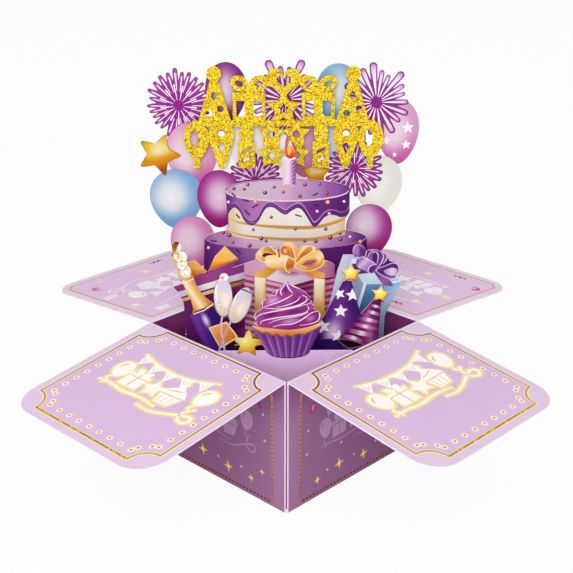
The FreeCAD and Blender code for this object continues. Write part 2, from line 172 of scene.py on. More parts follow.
def curved(points, closed=True, count=6):
    # Smooth line through the points
    loop = []
    total = len(points)
    for n in range(total if closed else total - 1):
        p = [points[(n + k - 1) % total] if closed else points[min(max(n + k - 1, 0), total - 1)]
             for k in range(4)]
        for k in range(count):
            t = k / count
            loop.append(tuple(0.5 * (2 * b + (c - a) * t + (2 * a - 5 * b + 4 * c - d) * t * t
                                     + (3 * b - a - 3 * c + d) * t ** 3)
                              for a, b, c, d in zip(*p)))
    if not closed:
        loop.append(points[-1])
    return loop


def stroke(points, width, taper=1.0, end=None):
    # A pen line: taper times its width at the start, full in the middle, end times it at the end
    end = taper if end is None else end
    left, right = [], []
    last = len(points) - 1
    for n, (x, y) in enumerate(points):
        x0, y0 = points[max(n - 1, 0)]
        x1, y1 = points[min(n + 1, last)]
        long = math.hypot(x1 - x0, y1 - y0) or 1.0
        t = n / last
        wide = width / 2 * (taper + (1 - taper) * smooth(0, 0.45, t)) * (1 + (end - 1) * smooth(0.55, 1, t))
        nx, ny = -(y1 - y0) / long * wide, (x1 - x0) / long * wide
        left.append((x + nx, y + ny))
        right.append((x - nx, y - ny))
    return left + right[::-1]


def pen(points, steps, width, taper=1.0):
    # A pen line along a smooth line through the points
    return stroke(curved(points, False, steps), width, taper)


def fanOf(x, y, angle, start, reach, w0, w1):
    # One ray with a round end
    a = math.radians(angle)
    c, s = math.cos(a), math.sin(a)
    local = [(start, w0 / 2), (reach - w1 / 2, w1 / 2)]
    local += [(reach - w1 / 2 + w1 / 2 * math.cos(math.radians(d)), w1 / 2 * math.sin(math.radians(d)))
              for d in (60, 20, -20, -60)]
    local += [(reach - w1 / 2, -w1 / 2), (start, -w0 / 2)]
    return [(x + u * c - v * s, y + u * s + v * c) for u, v in local]


def burstLoop(x, y, thick, valley, rays):
    # The outline of a burst of round ended rays, (angle, reach) each
    longest = max(reach for angle, reach in rays)
    loop = []
    for n, (degrees, reach) in enumerate(rays):
        following, beyond = rays[(n + 1) % len(rays)]
        a, w = math.radians(degrees), thick * (reach / longest) ** 2
        c, s = math.cos(a), math.sin(a)
        for k in range(7):
            bend = math.radians(30 * k - 90)
            u, v = reach - w + w * math.cos(bend), w * math.sin(bend)
            loop.append((x + u * c - v * s, y + u * s + v * c))
        half = a + math.radians((following - degrees) % 360) / 2
        r = min(reach, beyond) * valley
        loop.append((x + r * math.cos(half), y + r * math.sin(half)))
    return loop


def widened(points, amount):
    # The closed line moved outward by the amount
    moved = []
    count = len(points)
    for n, (x, y) in enumerate(points):
        (x0, y0), (x1, y1) = points[n - 1], points[(n + 1) % count]
        a, b = Vector((x - x0, y - y0)), Vector((x1 - x, y1 - y))
        if a.length < 1e-6 or b.length < 1e-6:
            moved.append((x, y))
            continue
        na, nb = Vector((a.y, -a.x)).normalized(), Vector((b.y, -b.x)).normalized()
        both = na + nb
        if both.length < 0.3:
            both = na
        m = both.normalized()
        reach = math.copysign(min(abs(amount) / max(m.dot(na), 0.4), abs(amount) * 1.6), amount)
        moved.append((x + m.x * reach, y + m.y * reach))
    return moved


def placed(name, data):
    thing = bpy.data.objects.new(name, data)
    bpy.context.scene.collection.objects.link(thing)
    return thing


class Print:
    # The printed figures of one card face, from the lowest to the topmost
    def __init__(self):
        self.figures = []

    def add(self, loop, paint, fine=0.0, foil=0.0):
        self.figures.append((np.array(loop), paint, fine, foil))

    def addAll(self, loops, paint, fine=0.0, foil=0.0):
        for loop in loops:
            self.add(loop, paint, fine, foil)


def within(loop, spots):
    # Which spots lie inside the loop
    x, y = spots[:, 0], spots[:, 1]
    result = np.zeros(len(spots), bool)
    low, high = loop.min(0), loop.max(0)
    near = np.nonzero((x >= low[0]) & (x <= high[0]) & (y >= low[1]) & (y <= high[1]))[0]
    if not len(near):
        return result
    px, py = x[near][:, None], y[near][:, None]
    a, b = loop, np.roll(loop, -1, axis=0)
    rising = (a[:, 1] > py) != (b[:, 1] > py)
    run = np.where(b[:, 1] == a[:, 1], 1.0, b[:, 1] - a[:, 1])
    hit = px < (b[:, 0] - a[:, 0]) * (py - a[:, 1]) / run + a[:, 0]
    result[near] = np.count_nonzero(rising & hit, axis=1) % 2 == 1
    return result


def faceLoops(node, normal, spot, flat):
    # Outline loops of a card node's flat face, in the drawing's own millimetres
    mesh = nodes[node].data
    keys, points, edges = {}, [], {}
    normal = Vector(normal)
    for face in mesh.polygons:
        if face.normal.dot(normal) < 0.99 or abs((face.center - Vector(spot) * mm).dot(normal)) > 2e-5:
            continue
        ids = []
        for index in face.vertices:
            u, v = flat(mesh.vertices[index].co / mm)
            key = (round(u, 3), round(v, 3))
            if key not in keys:
                keys[key] = len(points)
                points.append((u, v))
            ids.append(keys[key])
        for n in range(len(ids)):
            pair = (ids[n], ids[(n + 1) % len(ids)])
            if pair[::-1] in edges:
                del edges[pair[::-1]]
            else:
                edges[pair] = True
    follow = dict(edges.keys())
    loops = []
    while follow:
        start, here = follow.popitem()
        loop = [points[start]]
        while here != start:
            loop.append(points[here])
            here = follow.pop(here)
        loops.append(np.array(loop))
    return loops


net = {"row": 0.87, "shiftX": 0.013, "shiftY": 0.017, "margin": 1.0, "weld": 1e-5}


def netOf(outline, drawing, longest):
    # Triangles of the print, each inside one figure, with the figure's number. Loop edges are at most
    # longest, so that a colour run has no long thin triangles. A fine figure gets a grid of points,
    # shifted a little so that none falls on a line.
    points, edges = [], []

    def takeLoop(loop):
        first = len(points)
        for (x0, y0), (x1, y1) in zip(loop, loop[1:] + loop[:1]):
            parts = max(math.ceil(math.hypot(x1 - x0, y1 - y0) / longest), 1)
            points.extend((x0 + (x1 - x0) * k / parts, y0 + (y1 - y0) * k / parts) for k in range(parts))
        count = len(points) - first
        edges.extend((first + n, first + (n + 1) % count) for n in range(count))

    for loop in outline:
        takeLoop([tuple(p) for p in loop])
    low = np.min([loop.min(0) for loop in outline], axis=0)
    high = np.max([loop.max(0) for loop in outline], axis=0)
    for loop, _, fine, _ in drawing.figures:
        if (loop.max(0) < low).any() or (loop.min(0) > high).any():
            continue
        takeLoop([tuple(p) for p in np.clip(loop, low - net["margin"], high + net["margin"])])
        if fine:
            a, b = np.maximum(loop.min(0), low), np.minimum(loop.max(0), high)
            us, vs = np.arange(a[0], b[0], fine), np.arange(a[1], b[1], fine * net["row"])
            spots = np.array([(u + (n % 2) * fine / 2 + net["shiftX"], v + net["shiftY"])
                              for n, v in enumerate(vs) for u in us])
            if len(spots):
                points.extend(tuple(p) for p in spots[within(loop, spots)])
    found = delaunay_2d_cdt([Vector(p) for p in points], edges, [], 0, net["weld"])
    spots = np.array([tuple(p) for p in found[0]])
    triangles = np.array(found[2])
    middles = spots[triangles].mean(axis=1)
    kept = np.zeros(len(triangles), int)
    for loop in outline:
        kept += within(loop, middles)
    kept = kept % 2 == 1
    owner = np.full(len(triangles), -1)
    for number, figure in enumerate(drawing.figures):
        owner[within(figure[0], middles)] = number
    triangles, owner = triangles[kept], owner[kept]
    corner = spots[triangles]
    area = ((corner[:, 1, 0] - corner[:, 0, 0]) * (corner[:, 2, 1] - corner[:, 0, 1])
            - (corner[:, 1, 1] - corner[:, 0, 1]) * (corner[:, 2, 0] - corner[:, 0, 0]))
    triangles[area < 0] = triangles[area < 0][:, ::-1]
    return spots, triangles, owner


def inkedCard(name, outline, drawing, ground, place, body, longest=12.0, lift=0.0):
    # A thin closed layer of print on a card face. place(u, v, w) gives the point in millimetres.
    spots, triangles, owner = netOf(outline, drawing, longest)
    used = np.unique(triangles)
    order = {old: new for new, old in enumerate(used)}
    flat = [[order[i] for i in triangle] for triangle in triangles.tolist()]
    count = len(used)
    verts = [place(*spots[i], lift + card["ink"]) for i in used] + [place(*spots[i], lift) for i in used]
    faces = flat + [[i + count for i in triangle[::-1]] for triangle in flat]
    rim = {}
    for triangle in flat:
        for n in range(3):
            pair = (triangle[n], triangle[(n + 1) % 3])
            if pair[::-1] in rim:
                del rim[pair[::-1]]
            else:
                rim[pair] = True
    faces += [[a + count, b + count, b, a] for a, b in rim]
    mesh = bpy.data.meshes.new(name)
    mesh.from_pydata([Vector(v) * mm for v in verts], [], faces)
    inks, foils = [], []
    for triangle, number in zip(triangles, owner.tolist()):
        paint, foil = ground, 0.0
        if number >= 0:
            paint, foil = drawing.figures[number][1], drawing.figures[number][3]
        for i in triangle:
            colour = paint(*spots[i]) if callable(paint) else paint
            inks.append(linearInk(colour))
            foils.append(foil)
    inks += [ink for n in range(len(flat)) for ink in inks[3 * n:3 * n + 3][::-1]]
    foils += foils[:3 * len(flat)]
    inks += [linearInk(card["cutEdge"])] * (4 * len(rim))
    foils += [0.0] * (4 * len(rim))
    inkLayer = mesh.attributes.new("ink", "FLOAT_COLOR", "CORNER")
    inkLayer.data.foreach_set("color", np.array([ink + [1.0] for ink in inks], np.float32).ravel())
    foilLayer = mesh.attributes.new("foil", "FLOAT", "CORNER")
    foilLayer.data.foreach_set("value", np.array(foils, np.float32))
    piece = placed(name, mesh)
    mesh.materials.append(printedCard)
    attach(piece, body)
    print(name, len(mesh.polygons), "faces")


# Materials

def newMaterial(name):
    material = bpy.data.materials.new(name)
    material.use_nodes = True
    tree = material.node_tree
    return material, tree, tree.nodes["Principled BSDF"]


def mathNode(add, operation, *values):
    # A Math node, with the given values on its inputs. None leaves one free.
    node = add("ShaderNodeMath")
    node.operation = operation
    for socket, value in zip(node.inputs, values):
        if value is not None:
            socket.default_value = value
    return node


def cardGrain():
    # Fine fibre and slow unevenness of coated card
    group = bpy.data.node_groups.new("cardGrain", "ShaderNodeTree")
    face = group.interface
    for name, kind, value in (("Colour", "NodeSocketColor", (1, 1, 1, 1)),
                              ("Strength", "NodeSocketFloat", 0.05),
                              ("Gloss", "NodeSocketFloat", 0.45), ("Relief", "NodeSocketFloat", 0.05)):
        face.new_socket(name, in_out="INPUT", socket_type=kind).default_value = value
    for name, kind in (("Colour", "NodeSocketColor"), ("Roughness", "NodeSocketFloat"),
                       ("Normal", "NodeSocketVector")):
        face.new_socket(name, in_out="OUTPUT", socket_type=kind)
    add, link = group.nodes.new, group.links.new
    given, result = add("NodeGroupInput"), add("NodeGroupOutput")
    spot = add("ShaderNodeTexCoord")
    fibre, cloud = add("ShaderNodeTexNoise"), add("ShaderNodeTexNoise")
    fibre.inputs["Scale"].default_value, fibre.inputs["Detail"].default_value = 2600, 3
    cloud.inputs["Scale"].default_value, cloud.inputs["Detail"].default_value = 60, 2
    both, centred = mathNode(add, "ADD"), mathNode(add, "SUBTRACT", None, 1.0)
    scaled, rough = mathNode(add, "MULTIPLY_ADD", None, None, 1.0), mathNode(add, "MULTIPLY_ADD", None, 0.12)
    tinted = add("ShaderNodeVectorMath")
    tinted.operation = "SCALE"
    bump = add("ShaderNodeBump")
    bump.inputs["Distance"].default_value = 0.00004
    for noise in (fibre, cloud):
        link(spot.outputs["Object"], noise.inputs["Vector"])
    link(fibre.outputs["Fac"], both.inputs[0])
    link(cloud.outputs["Fac"], both.inputs[1])
    link(both.outputs[0], centred.inputs[0])
    link(centred.outputs[0], scaled.inputs[0])
    link(given.outputs["Strength"], scaled.inputs[1])
    link(given.outputs["Colour"], tinted.inputs[0])
    link(scaled.outputs[0], tinted.inputs["Scale"])
    link(tinted.outputs[0], result.inputs["Colour"])
    link(cloud.outputs["Fac"], rough.inputs[0])
    link(given.outputs["Gloss"], rough.inputs[2])
    link(rough.outputs[0], result.inputs["Roughness"])
    link(given.outputs["Relief"], bump.inputs["Strength"])
    link(fibre.outputs["Fac"], bump.inputs["Height"])
    link(bump.outputs["Normal"], result.inputs["Normal"])
    return group


grainGroup = cardGrain()


def grained(tree, shader, strength, gloss, relief):
    # Puts the grain before the shader, and gives its colour input
    grain = tree.nodes.new("ShaderNodeGroup")
    grain.node_tree = grainGroup
    for name, value in (("Strength", strength), ("Gloss", gloss), ("Relief", relief)):
        grain.inputs[name].default_value = value
    for name, socket in (("Colour", "Base Color"), ("Roughness", "Roughness"), ("Normal", "Normal")):
        tree.links.new(grain.outputs[name], shader.inputs[socket])
    return grain.inputs["Colour"]


def plainCard(name, colour, strength=0.05, gloss=0.5, relief=0.25):
    material, tree, shader = newMaterial(name)
    grained(tree, shader, strength, gloss, relief).default_value = linearInk(colour) + [1]
    return material


def printedCardMaterial():
    material, tree, shader = newMaterial("printedCard")
    add, link = tree.nodes.new, tree.links.new
    ink, foil = add("ShaderNodeAttribute"), add("ShaderNodeAttribute")
    ink.attribute_name, foil.attribute_name = "ink", "foil"
    link(ink.outputs["Color"], grained(tree, shader, 0.04, 0.36, 0.12))
    shine = mathNode(add, "MULTIPLY", None, 0.55)
    link(foil.outputs["Fac"], shine.inputs[0])
    link(shine.outputs[0], shader.inputs["Metallic"])
    shader.inputs["Specular IOR Level"].default_value = 0.14
    return material


def glitterCardMaterial():
    # Bright yellow gold flakes, a few of them orange brown
    material, tree, shader = newMaterial("goldGlitter")
    add, link = tree.nodes.new, tree.links.new
    spot = add("ShaderNodeTexCoord")
    flakes = add("ShaderNodeTexVoronoi")
    flakes.inputs["Scale"].default_value = 1900
    tone = add("ShaderNodeValToRGB")
    ramp = tone.color_ramp
    shades = [(0.0, (136, 92, 2)), (0.2, (192, 148, 4)), (0.42, (224, 188, 8)), (0.75, (238, 208, 14)),
              (1.0, (255, 240, 96))]
    ramp.elements[0].position, ramp.elements[1].position = shades[0][0], shades[-1][0]
    ramp.elements[0].color = linearInk(shades[0][1]) + [1]
    ramp.elements[1].color = linearInk(shades[-1][1]) + [1]
    for place, colour in shades[1:-1]:
        ramp.elements.new(place).color = linearInk(colour) + [1]
    split = add("ShaderNodeSeparateColor")
    metal = add("ShaderNodeMapRange")
    metal.inputs["To Min"].default_value, metal.inputs["To Max"].default_value = 0.15, 0.5
    bump = add("ShaderNodeBump")
    bump.inputs["Strength"].default_value, bump.inputs["Distance"].default_value = 0.5, 0.0001
    link(spot.outputs["Object"], flakes.inputs["Vector"])
    link(flakes.outputs["Color"], split.inputs[0])
    link(split.outputs[0], tone.inputs["Fac"])
    link(tone.outputs["Color"], shader.inputs["Base Color"])
    link(split.outputs[1], metal.inputs["Value"])
    link(metal.outputs["Result"], shader.inputs["Metallic"])
    link(split.outputs[2], bump.inputs["Height"])
    link(bump.outputs["Normal"], shader.inputs["Normal"])
    shader.inputs["Roughness"].default_value = 0.42
    shader.inputs["Specular IOR Level"].default_value = 0.25
    return material


def slabMask():
    # 1 where the distance from a plane, or from the box's upright axis, is below the limit
    group = bpy.data.node_groups.new("slabMask", "ShaderNodeTree")
    face = group.interface
    for name, kind, value in (("Middle", "NodeSocketVector", (0, 0, 0)),
                              ("Direction", "NodeSocketVector", (0, 1, 0)),
                              ("Limit", "NodeSocketFloat", 0.001)):
        face.new_socket(name, in_out="INPUT", socket_type=kind).default_value = value
    face.new_socket("Mask", in_out="OUTPUT", socket_type="NodeSocketFloat")
    add, link = group.nodes.new, group.links.new
    given, result, spot = add("NodeGroupInput"), add("NodeGroupOutput"), add("ShaderNodeTexCoord")
    away, size, reach = add("ShaderNodeVectorMath"), add("ShaderNodeVectorMath"), add("ShaderNodeVectorMath")
    away.operation, size.operation, reach.operation = "SUBTRACT", "ABSOLUTE", "DOT_PRODUCT"
    below = mathNode(add, "LESS_THAN")
    link(spot.outputs["Object"], away.inputs[0])
    link(given.outputs["Middle"], away.inputs[1])
    link(away.outputs["Vector"], size.inputs[0])
    link(size.outputs["Vector"], reach.inputs[0])
    link(given.outputs["Direction"], reach.inputs[1])
    link(reach.outputs["Value"], below.inputs[0])
    link(given.outputs["Limit"], below.inputs[1])
    link(below.outputs[0], result.inputs["Mask"])
    return group


slabGroup = slabMask()


def linedCard(name, near, far, middle, direction, limit):
    # Card of one colour near the slab and another farther out
    material, tree, shader = newMaterial(name)
    add, link = tree.nodes.new, tree.links.new
    slab, tone = add("ShaderNodeGroup"), add("ShaderNodeMix")
    slab.node_tree = slabGroup
    slab.inputs["Middle"].default_value, slab.inputs["Direction"].default_value = middle, direction
    slab.inputs["Limit"].default_value = limit
    tone.data_type = "RGBA"
    colours = [socket for socket in tone.inputs if socket.type == "RGBA"]
    colours[0].default_value, colours[1].default_value = linearInk(far) + [1], linearInk(near) + [1]
    link(slab.outputs["Mask"], tone.inputs["Factor"])
    result = next(socket for socket in tone.outputs if socket.type == "RGBA")
    link(result, grained(tree, shader, 0.08, 0.42, 0.2))
    return material


cardTone = {"white": (244, 238, 243), "plum": (136, 54, 122)}
printedCard = printedCardMaterial()
whiteCard = plainCard("whiteCard", cardTone["white"])
plumLining = plainCard("plumLining", cardTone["plum"], strength=0.1, gloss=0.42)
linedWall = linedCard("linedWall", cardTone["plum"], cardTone["white"], (0, 0, 0), (0.70711, 0.70711, 0),
                      0.04945)
foamPad = plainCard("foamPad", (240, 238, 236), strength=0.1, gloss=0.8, relief=0.6)
goldGlitter = glitterCardMaterial()


def dress(node, material):
    mesh = nodes[node].data
    mesh.materials.clear()
    mesh.materials.append(material)


for node in nodes:
    dress(node, whiteCard)
for node, plane in card["planes"].items():
    dress(node, linedCard(node + "_card", cardTone["white"], cardTone["plum"], (0, plane * mm, 0), (0, 1, 0),
                          0.0004))
dress("box_walls", linedWall)
dress("seam_strip", plumLining)
dress("glitter_topper", goldGlitter)
dress("topper_pads", foamPad)
print("materials ready")


# Standing sheets: their front faces and what is printed on them

def sheetPlace(node):
    face = card["planes"][node] - card["sheetFace"]
    return lambda u, v, w: (u, face - w, card["rim"] + v)


def sheetOutline(node):
    face = card["planes"][node] - card["sheetFace"]
    return faceLoops(node, (0, -1, 0), (0, face, 0), lambda p: (p.x, p.z - card["rim"]))


def balloonPaint(x, y, a, b, glow, edge, foot, gx=-0.2, gy=0.05, size=1.05):
    def paint(px, py):
        r = math.hypot((px - x - gx * a) / a, (py - y - gy * b) / b)
        colour = blended([(0.0, glow), (0.25 * size, mixed(glow, edge, 0.12)), (size, edge)], r)
        return mixed(colour, foot, 0.85 * smooth(0.1, -0.95, (py - y) / b) * smooth(0.2, 0.95, r))
    return paint


def drawBalloon(page, x, y, a, b, glow, edge, foot, **more):
    page.add(egg(x, y, a, b), mixed(edge, foot, 0.4))
    page.add(egg(x, y, a - 0.22, b - 0.22), balloonPaint(x, y, a, b, glow, edge, foot, **more), fine=1.25)


# Each burst: its middle, half a ray's width, how deep the outline dips between rays, and the rays
# themselves by angle and reach
bursts = {
    "left": (-53.3, 109.9, 1.2, 0.74,
             [(0, 16.5), (14, 17.0), (28, 17.0), (42, 17.5), (56, 17.5), (70, 18.2), (82, 17.4), (94, 19.3),
              (107, 17.7), (121, 18.0), (135, 17.3), (151, 17.4), (164, 15.2), (180, 16.0), (192, 15.2),
              (204, 14.6), (217, 15.4), (231, 15.0), (249, 16.9), (262, 16.7), (276, 16.0), (290, 16.0),
              (304, 16.0), (318, 16.0), (332, 16.0), (346, 16.0)]),
    "middle": (0.7, 112.7, 2.1, 0.60,
               [(4, 18.0), (20, 17.0), (36, 19.0), (51, 16.5), (66, 22.0), (82, 17.0), (98, 17.4), (114, 22.0),
                (130, 16.5), (148, 19.0), (166, 17.0), (184, 19.0), (202, 17.0), (220, 20.0), (238, 17.0),
                (256, 20.0), (274, 18.0), (292, 20.0), (310, 17.0), (328, 19.0), (346, 17.0)]),
    "right": (47.3, 111.3, 2.0, 0.62,
              [(1, 16.1), (18, 15.0), (33, 16.3), (50, 20.0), (67, 15.2), (82, 16.6), (97, 20.5), (115, 19.1),
               (133, 16.0), (151, 18.5), (169, 16.0), (187, 18.0), (205, 16.0), (223, 18.0), (243, 15.0),
               (260, 17.0), (279, 17.5), (300, 18.1), (321, 15.5), (340, 17.0)]),
    "low": (36.7, 76.8, 1.0, 0.74,
            [(7, 14.3), (24, 15.1), (39, 15.3), (52, 15.7), (67, 15.0), (82, 14.5), (97, 14.5), (112, 14.5),
             (127, 14.0), (142, 14.0), (157, 14.0), (172, 13.8), (187, 13.5), (201, 15.6), (214, 14.5),
             (228, 14.0), (243, 14.0), (259, 14.0), (274, 15.4), (290, 16.2), (304, 14.6), (318, 15.6),
             (336, 15.5), (351, 15.0)]),
    "behind": (-14.9, 70.7, 1.0, 0.74, [(15 * n, 14.2 - 1.2 * (n % 2)) for n in range(24)]),
}


def drawFirework(page, name):
    # A purple burst: every ray carries a pale streak that widens outward. The thin ones have short
    # streaks between their rays too.
    x, y, thick, valley, rays = bursts[name]
    longest = max(reach for angle, reach in rays)
    broad = thick > 1.5
    page.add(burstLoop(x, y, thick + 0.3, valley + 0.02, [(a, r + 0.3) for a, r in rays]), (104, 22, 102))
    page.add(burstLoop(x, y, thick - 0.3, valley - 0.04, [(a, r - 0.3) for a, r in rays]),
             around(x, y, longest, longest, (132, 30, 124), (0.3, (136, 38, 130)), (156, 70, 154)), fine=1.8)
    for n, (angle, reach) in enumerate(rays):
        wide = 2 * thick * (reach / longest) ** 2
        ahead = (rays[(n + 1) % len(rays)][0] - angle) % 360 / 2
        streak = around(x, y, reach, reach, (240, 214, 238), (0.4, (250, 244, 250)),
                        (0.78, (232, 204, 232)), (186, 122, 184))
        if broad:
            page.add(fanOf(x, y, angle, reach * 0.18, reach - wide * 0.22, 0.3, wide * 0.64), streak)
        else:
            page.add(fanOf(x, y, angle, reach * 0.4, reach * 0.88, 0.26, wide * 0.46), streak)
            if n % 2:
                page.add(fanOf(x, y, angle + ahead, reach * 0.16, reach * 0.58, 0.2, 0.8), streak)


balloonTones = {
    "purple": ((218, 206, 218), (122, 36, 116), (102, 22, 100)),
    "blue": ((212, 214, 220), (122, 162, 200), (92, 140, 192)),
    "paleBlue": ((214, 217, 225), (150, 180, 210), (150, 180, 208)),
    "pinkTop": ((224, 204, 217), (202, 146, 184), (178, 72, 144)),
    "ivory": ((230, 230, 223), (212, 212, 204), (222, 222, 206)),
    "magenta": ((230, 216, 227), (150, 44, 126), (148, 12, 106)),
    "pink": ((226, 206, 217), (206, 144, 180), (176, 72, 136)),
    "deepBlue": ((228, 227, 226), (118, 160, 198), (92, 142, 190)),
    "magentaLow": ((224, 204, 219), (146, 38, 126), (138, 10, 94)),
    "rose": ((224, 204, 216), (200, 122, 174), (186, 90, 150)),
    "mauve": ((205, 160, 192), (186, 114, 162), (176, 98, 152)),
    "white": ((234, 230, 236), (222, 220, 228), (226, 222, 230)),
}


def drawBalloonSheet():
    page = Print()

    def fly(x, y, a, b, tone, **more):
        drawBalloon(page, x, y, a, b, *balloonTones[tone], **more)

    fly(-29.1, 116.4, 10.6, 15.6, "purple", gx=-0.1)
    fly(27.5, 115.6, 11.2, 15.6, "blue", gx=0.1)
    drawFirework(page, "left")
    drawFirework(page, "middle")
    fly(31.6, 90.8, 10.8, 14.5, "paleBlue")
    fly(11.0, 86.7, 10.4, 14.6, "mauve")
    fly(58.7, 95.9, 10.8, 17.0, "pinkTop")
    page.addAll([starLoop(63.7, 98.2, 3.4, 0.45, 6), starLoop(52.7, 91.5, 2.6, 0.45, -8),
                 starLoop(63.2, 89.3, 2.7, 0.45, 4), starLoop(57.4, 84.0, 1.5, 0.45, 4)], (240, 230, 240))
    drawFirework(page, "right")
    fly(49.4, 67.7, 12.6, 16.0, "ivory")
    drawFirework(page, "low")
    fly(45.4, 42.2, 12.3, 15.1, "magenta", gx=-0.3, gy=0.2, size=1.2)
    fly(-47.3, 84.2, 13.4, 17.4, "pink")
    fly(-56.2, 60.5, 13.9, 16.3, "deepBlue")
    fly(-17.3, 89.4, 11.3, 15.7, "white")
    drawFirework(page, "behind")
    fly(-33.9, 60.4, 11.5, 15.8, "magentaLow", gx=0.05)
    fly(-48.4, 36.0, 11.8, 15.1, "rose")
    drawStar(page, 16.7, 74.0, 7.5, 0.0)
    drawStar(page, -64.5, 84.5, 11.2, -21.0)
    return page


def drawStar(page, x, y, reach, turn):
    # A puffed star, cream above and at its heart, orange below, brown at its lowest tips
    page.add(curved(starLoop(x, y, reach + 0.5, 0.56, turn), True, 3), (170, 92, 20))

    def paint(px, py):
        tone = blended([(0.0, (226, 214, 176)), (0.3, (224, 206, 132)), (0.56, (218, 178, 50)),
                        (1.0, (178, 112, 14))],
                       math.hypot(px - x - 0.04 * reach, py - y - 0.2 * reach) / reach)
        low = (y - py + 0.25 * (px - x)) / reach
        tone = mixed(tone, (208, 130, 0), 0.95 * smooth(-0.12, 0.3, low))
        return mixed(tone, (136, 54, 6), 0.85 * smooth(0.3, 0.85, low))

    page.add(curved(starLoop(x, y, reach, 0.54, turn), True, 3), paint, fine=reach * 0.12)


icingEdge = [(-29.6, 55.3), (-28.0, 59.7), (-25.6, 62.0), (-23.0, 60.0), (-20.4, 54.7), (-16.9, 52.3),
             (-13.4, 54.4), (-10.4, 60.0), (-8.0, 62.1), (-5.0, 61.7), (-1.6, 59.0), (1.0, 58.1), (3.6, 59.9),
             (6.7, 61.6), (9.3, 60.4), (12.2, 55.9), (14.4, 52.2), (15.9, 51.3), (18.0, 52.9), (20.5, 56.2),
             (23.4, 57.8), (26.4, 57.5), (29.0, 56.6), (31.8, 57.2), (33.5, 60.6)]


def drawCakeSheet():
    page = Print()
    lower = across(-43, 20, 44, 20, (82, 20, 98), (0.1, (104, 44, 124)), (0.33, (154, 98, 164)),
                   (0.6, (114, 48, 132)), (0.86, (88, 22, 104)), (74, 14, 88))
    page.add([(-46, -12), (46, -12), (46, 46), (-46, 46)], lower, fine=2.2)
    page.add(ring(0.9, 44.6, 42.3, 6.9), (170, 108, 184))
    page.add(ring(0.9, 45.0, 41.6, 6.9),
             across(-42, 45, 43, 45, (142, 76, 142), (0.12, (176, 124, 172)), (0.3, (206, 172, 200)),
                    (0.45, (222, 202, 220)),
                    (0.65, (220, 194, 214)), (0.82, (166, 116, 170)), (94, 34, 110)), fine=2.0)
    # Upper tier: sponge with two bands of filling
    page.add([(-28.6, 46.0), (-20, 44.2), (-8, 42.9), (4, 42.5), (16, 43.0), (26, 44.6), (31.6, 46.0),
              (31.6, 70), (-28.6, 70)],
             across(-28, 50, 32, 50, (216, 192, 156), (0.14, (226, 218, 206)), (0.6, (229, 222, 213)),
                    (0.9, (222, 208, 188)), (208, 182, 146)), fine=1.6)
    for drop, warm in ((0.0, 1.0), (-6.6, 0.8)):
        upperLine = [(-28.6, 55.9), (-22.2, 53.6), (-10.4, 51.9), (1.4, 51.1), (13.3, 51.0), (22.1, 52.3),
                     (31.4, 55.6)]
        lowerLine = [(31.4, 53.8), (22.2, 50.4), (13.3, 49.1), (1.4, 49.0), (-10.4, 50.1), (-22.3, 52.0),
                     (-28.6, 54.4)]
        band = curved(upperLine, False, 4) + curved(lowerLine, False, 4)
        page.add([(x, y + drop) for x, y in band],
                 across(-28, 50, 32, 52, (226, 196, 146), (0.3, mixed((236, 222, 196), (222, 186, 130), warm)),
                        (0.65, mixed((226, 190, 136), (198, 144, 70), warm)), (206, 154, 84)), fine=1.6)
        core = [(x, y + drop - 0.9) for x, y in upperLine]
        page.add(pen(core, 4, 1.1, 0.3), mixed((216, 170, 100), (192, 138, 66), warm))
    # Icing that runs down over the sponge
    rim = curved(icingEdge, False, 4)
    over = [(34.5, 66.0), (34.5, 74.0), (-31.0, 74.0), (-31.0, 56.0)]
    page.add([(x, y - 1.0) for x, y in rim] + over, (78, 30, 112))
    page.add(rim + over,
             across(-30, 64, 34, 60, (86, 34, 104), (0.1, (142, 86, 152)), (0.25, (168, 110, 168)),
                    (0.45, (158, 100, 164)), (0.6, (114, 56, 128)), (0.72, (100, 38, 116)),
                    (0.86, (90, 26, 108)), (70, 18, 96)), fine=1.4)
    page.add(stroke([(x, y + 1.7) for x, y in rim[6:]], 1.0, 0.2), (178, 128, 186))
    page.add(stroke([(x, y + 0.8) for x, y in rim], 0.9, 0.5), (92, 30, 108))
    page.add(ring(1.6, 69.6, 31.5, 5.6), (220, 196, 216))
    page.add(ring(1.6, 70.2, 31.3, 5.4),
             across(-29, 70, 33, 70, (180, 140, 174), (0.1, (196, 172, 190)), (0.3, (196, 174, 192)),
                    (0.45, (200, 164, 192)),
                    (0.6, (182, 142, 182)), (0.72, (166, 126, 174)), (0.86, (140, 80, 150)), (110, 50, 130)),
             fine=1.6)
    drawSprinkles(page)
    # Candle and flame
    page.add([(-0.6, 72.4), (5.9, 72.4), (5.9, 87.4), (-0.9, 87.4)],
             across(-0.6, 80, 6, 80, (214, 182, 204), (0.35, (230, 210, 222)), (0.7, (198, 152, 190)),
                    (146, 88, 150)), fine=1.2)
    for n in range(7):
        low = 72.6 + 2.05 * n
        page.add([(3.4, low), (5.9, low + 1.5), (5.9, low + 2.5), (4.6, low + 1.8)], (128, 58, 134))
        page.add([(-0.6, low + 0.2), (3.2, low + 0.4), (3.2, low + 0.8), (-0.6, low + 0.5)], (230, 198, 216))
    page.add(ring(2.7, 72.5, 3.2, 0.9), (206, 156, 190))
    page.add(ring(2.6, 86.9, 3.4, 1.0), (238, 220, 230))
    page.add(curved([(3.0, 86.6), (0.7, 88.4), (0.9, 91.2), (3.0, 95.2), (5.2, 91.2), (5.6, 88.4)], True, 5),
             across(2.2, 86.6, 3.8, 95.0, (196, 24, 10), (0.3, (226, 66, 14)), (0.62, (246, 150, 40)),
                    (252, 236, 190)), fine=0.9)
    page.add(curved([(2.4, 88.4), (1.8, 90.2), (2.6, 93.2), (3.4, 90.4)], True, 5), (250, 190, 110))
    return page


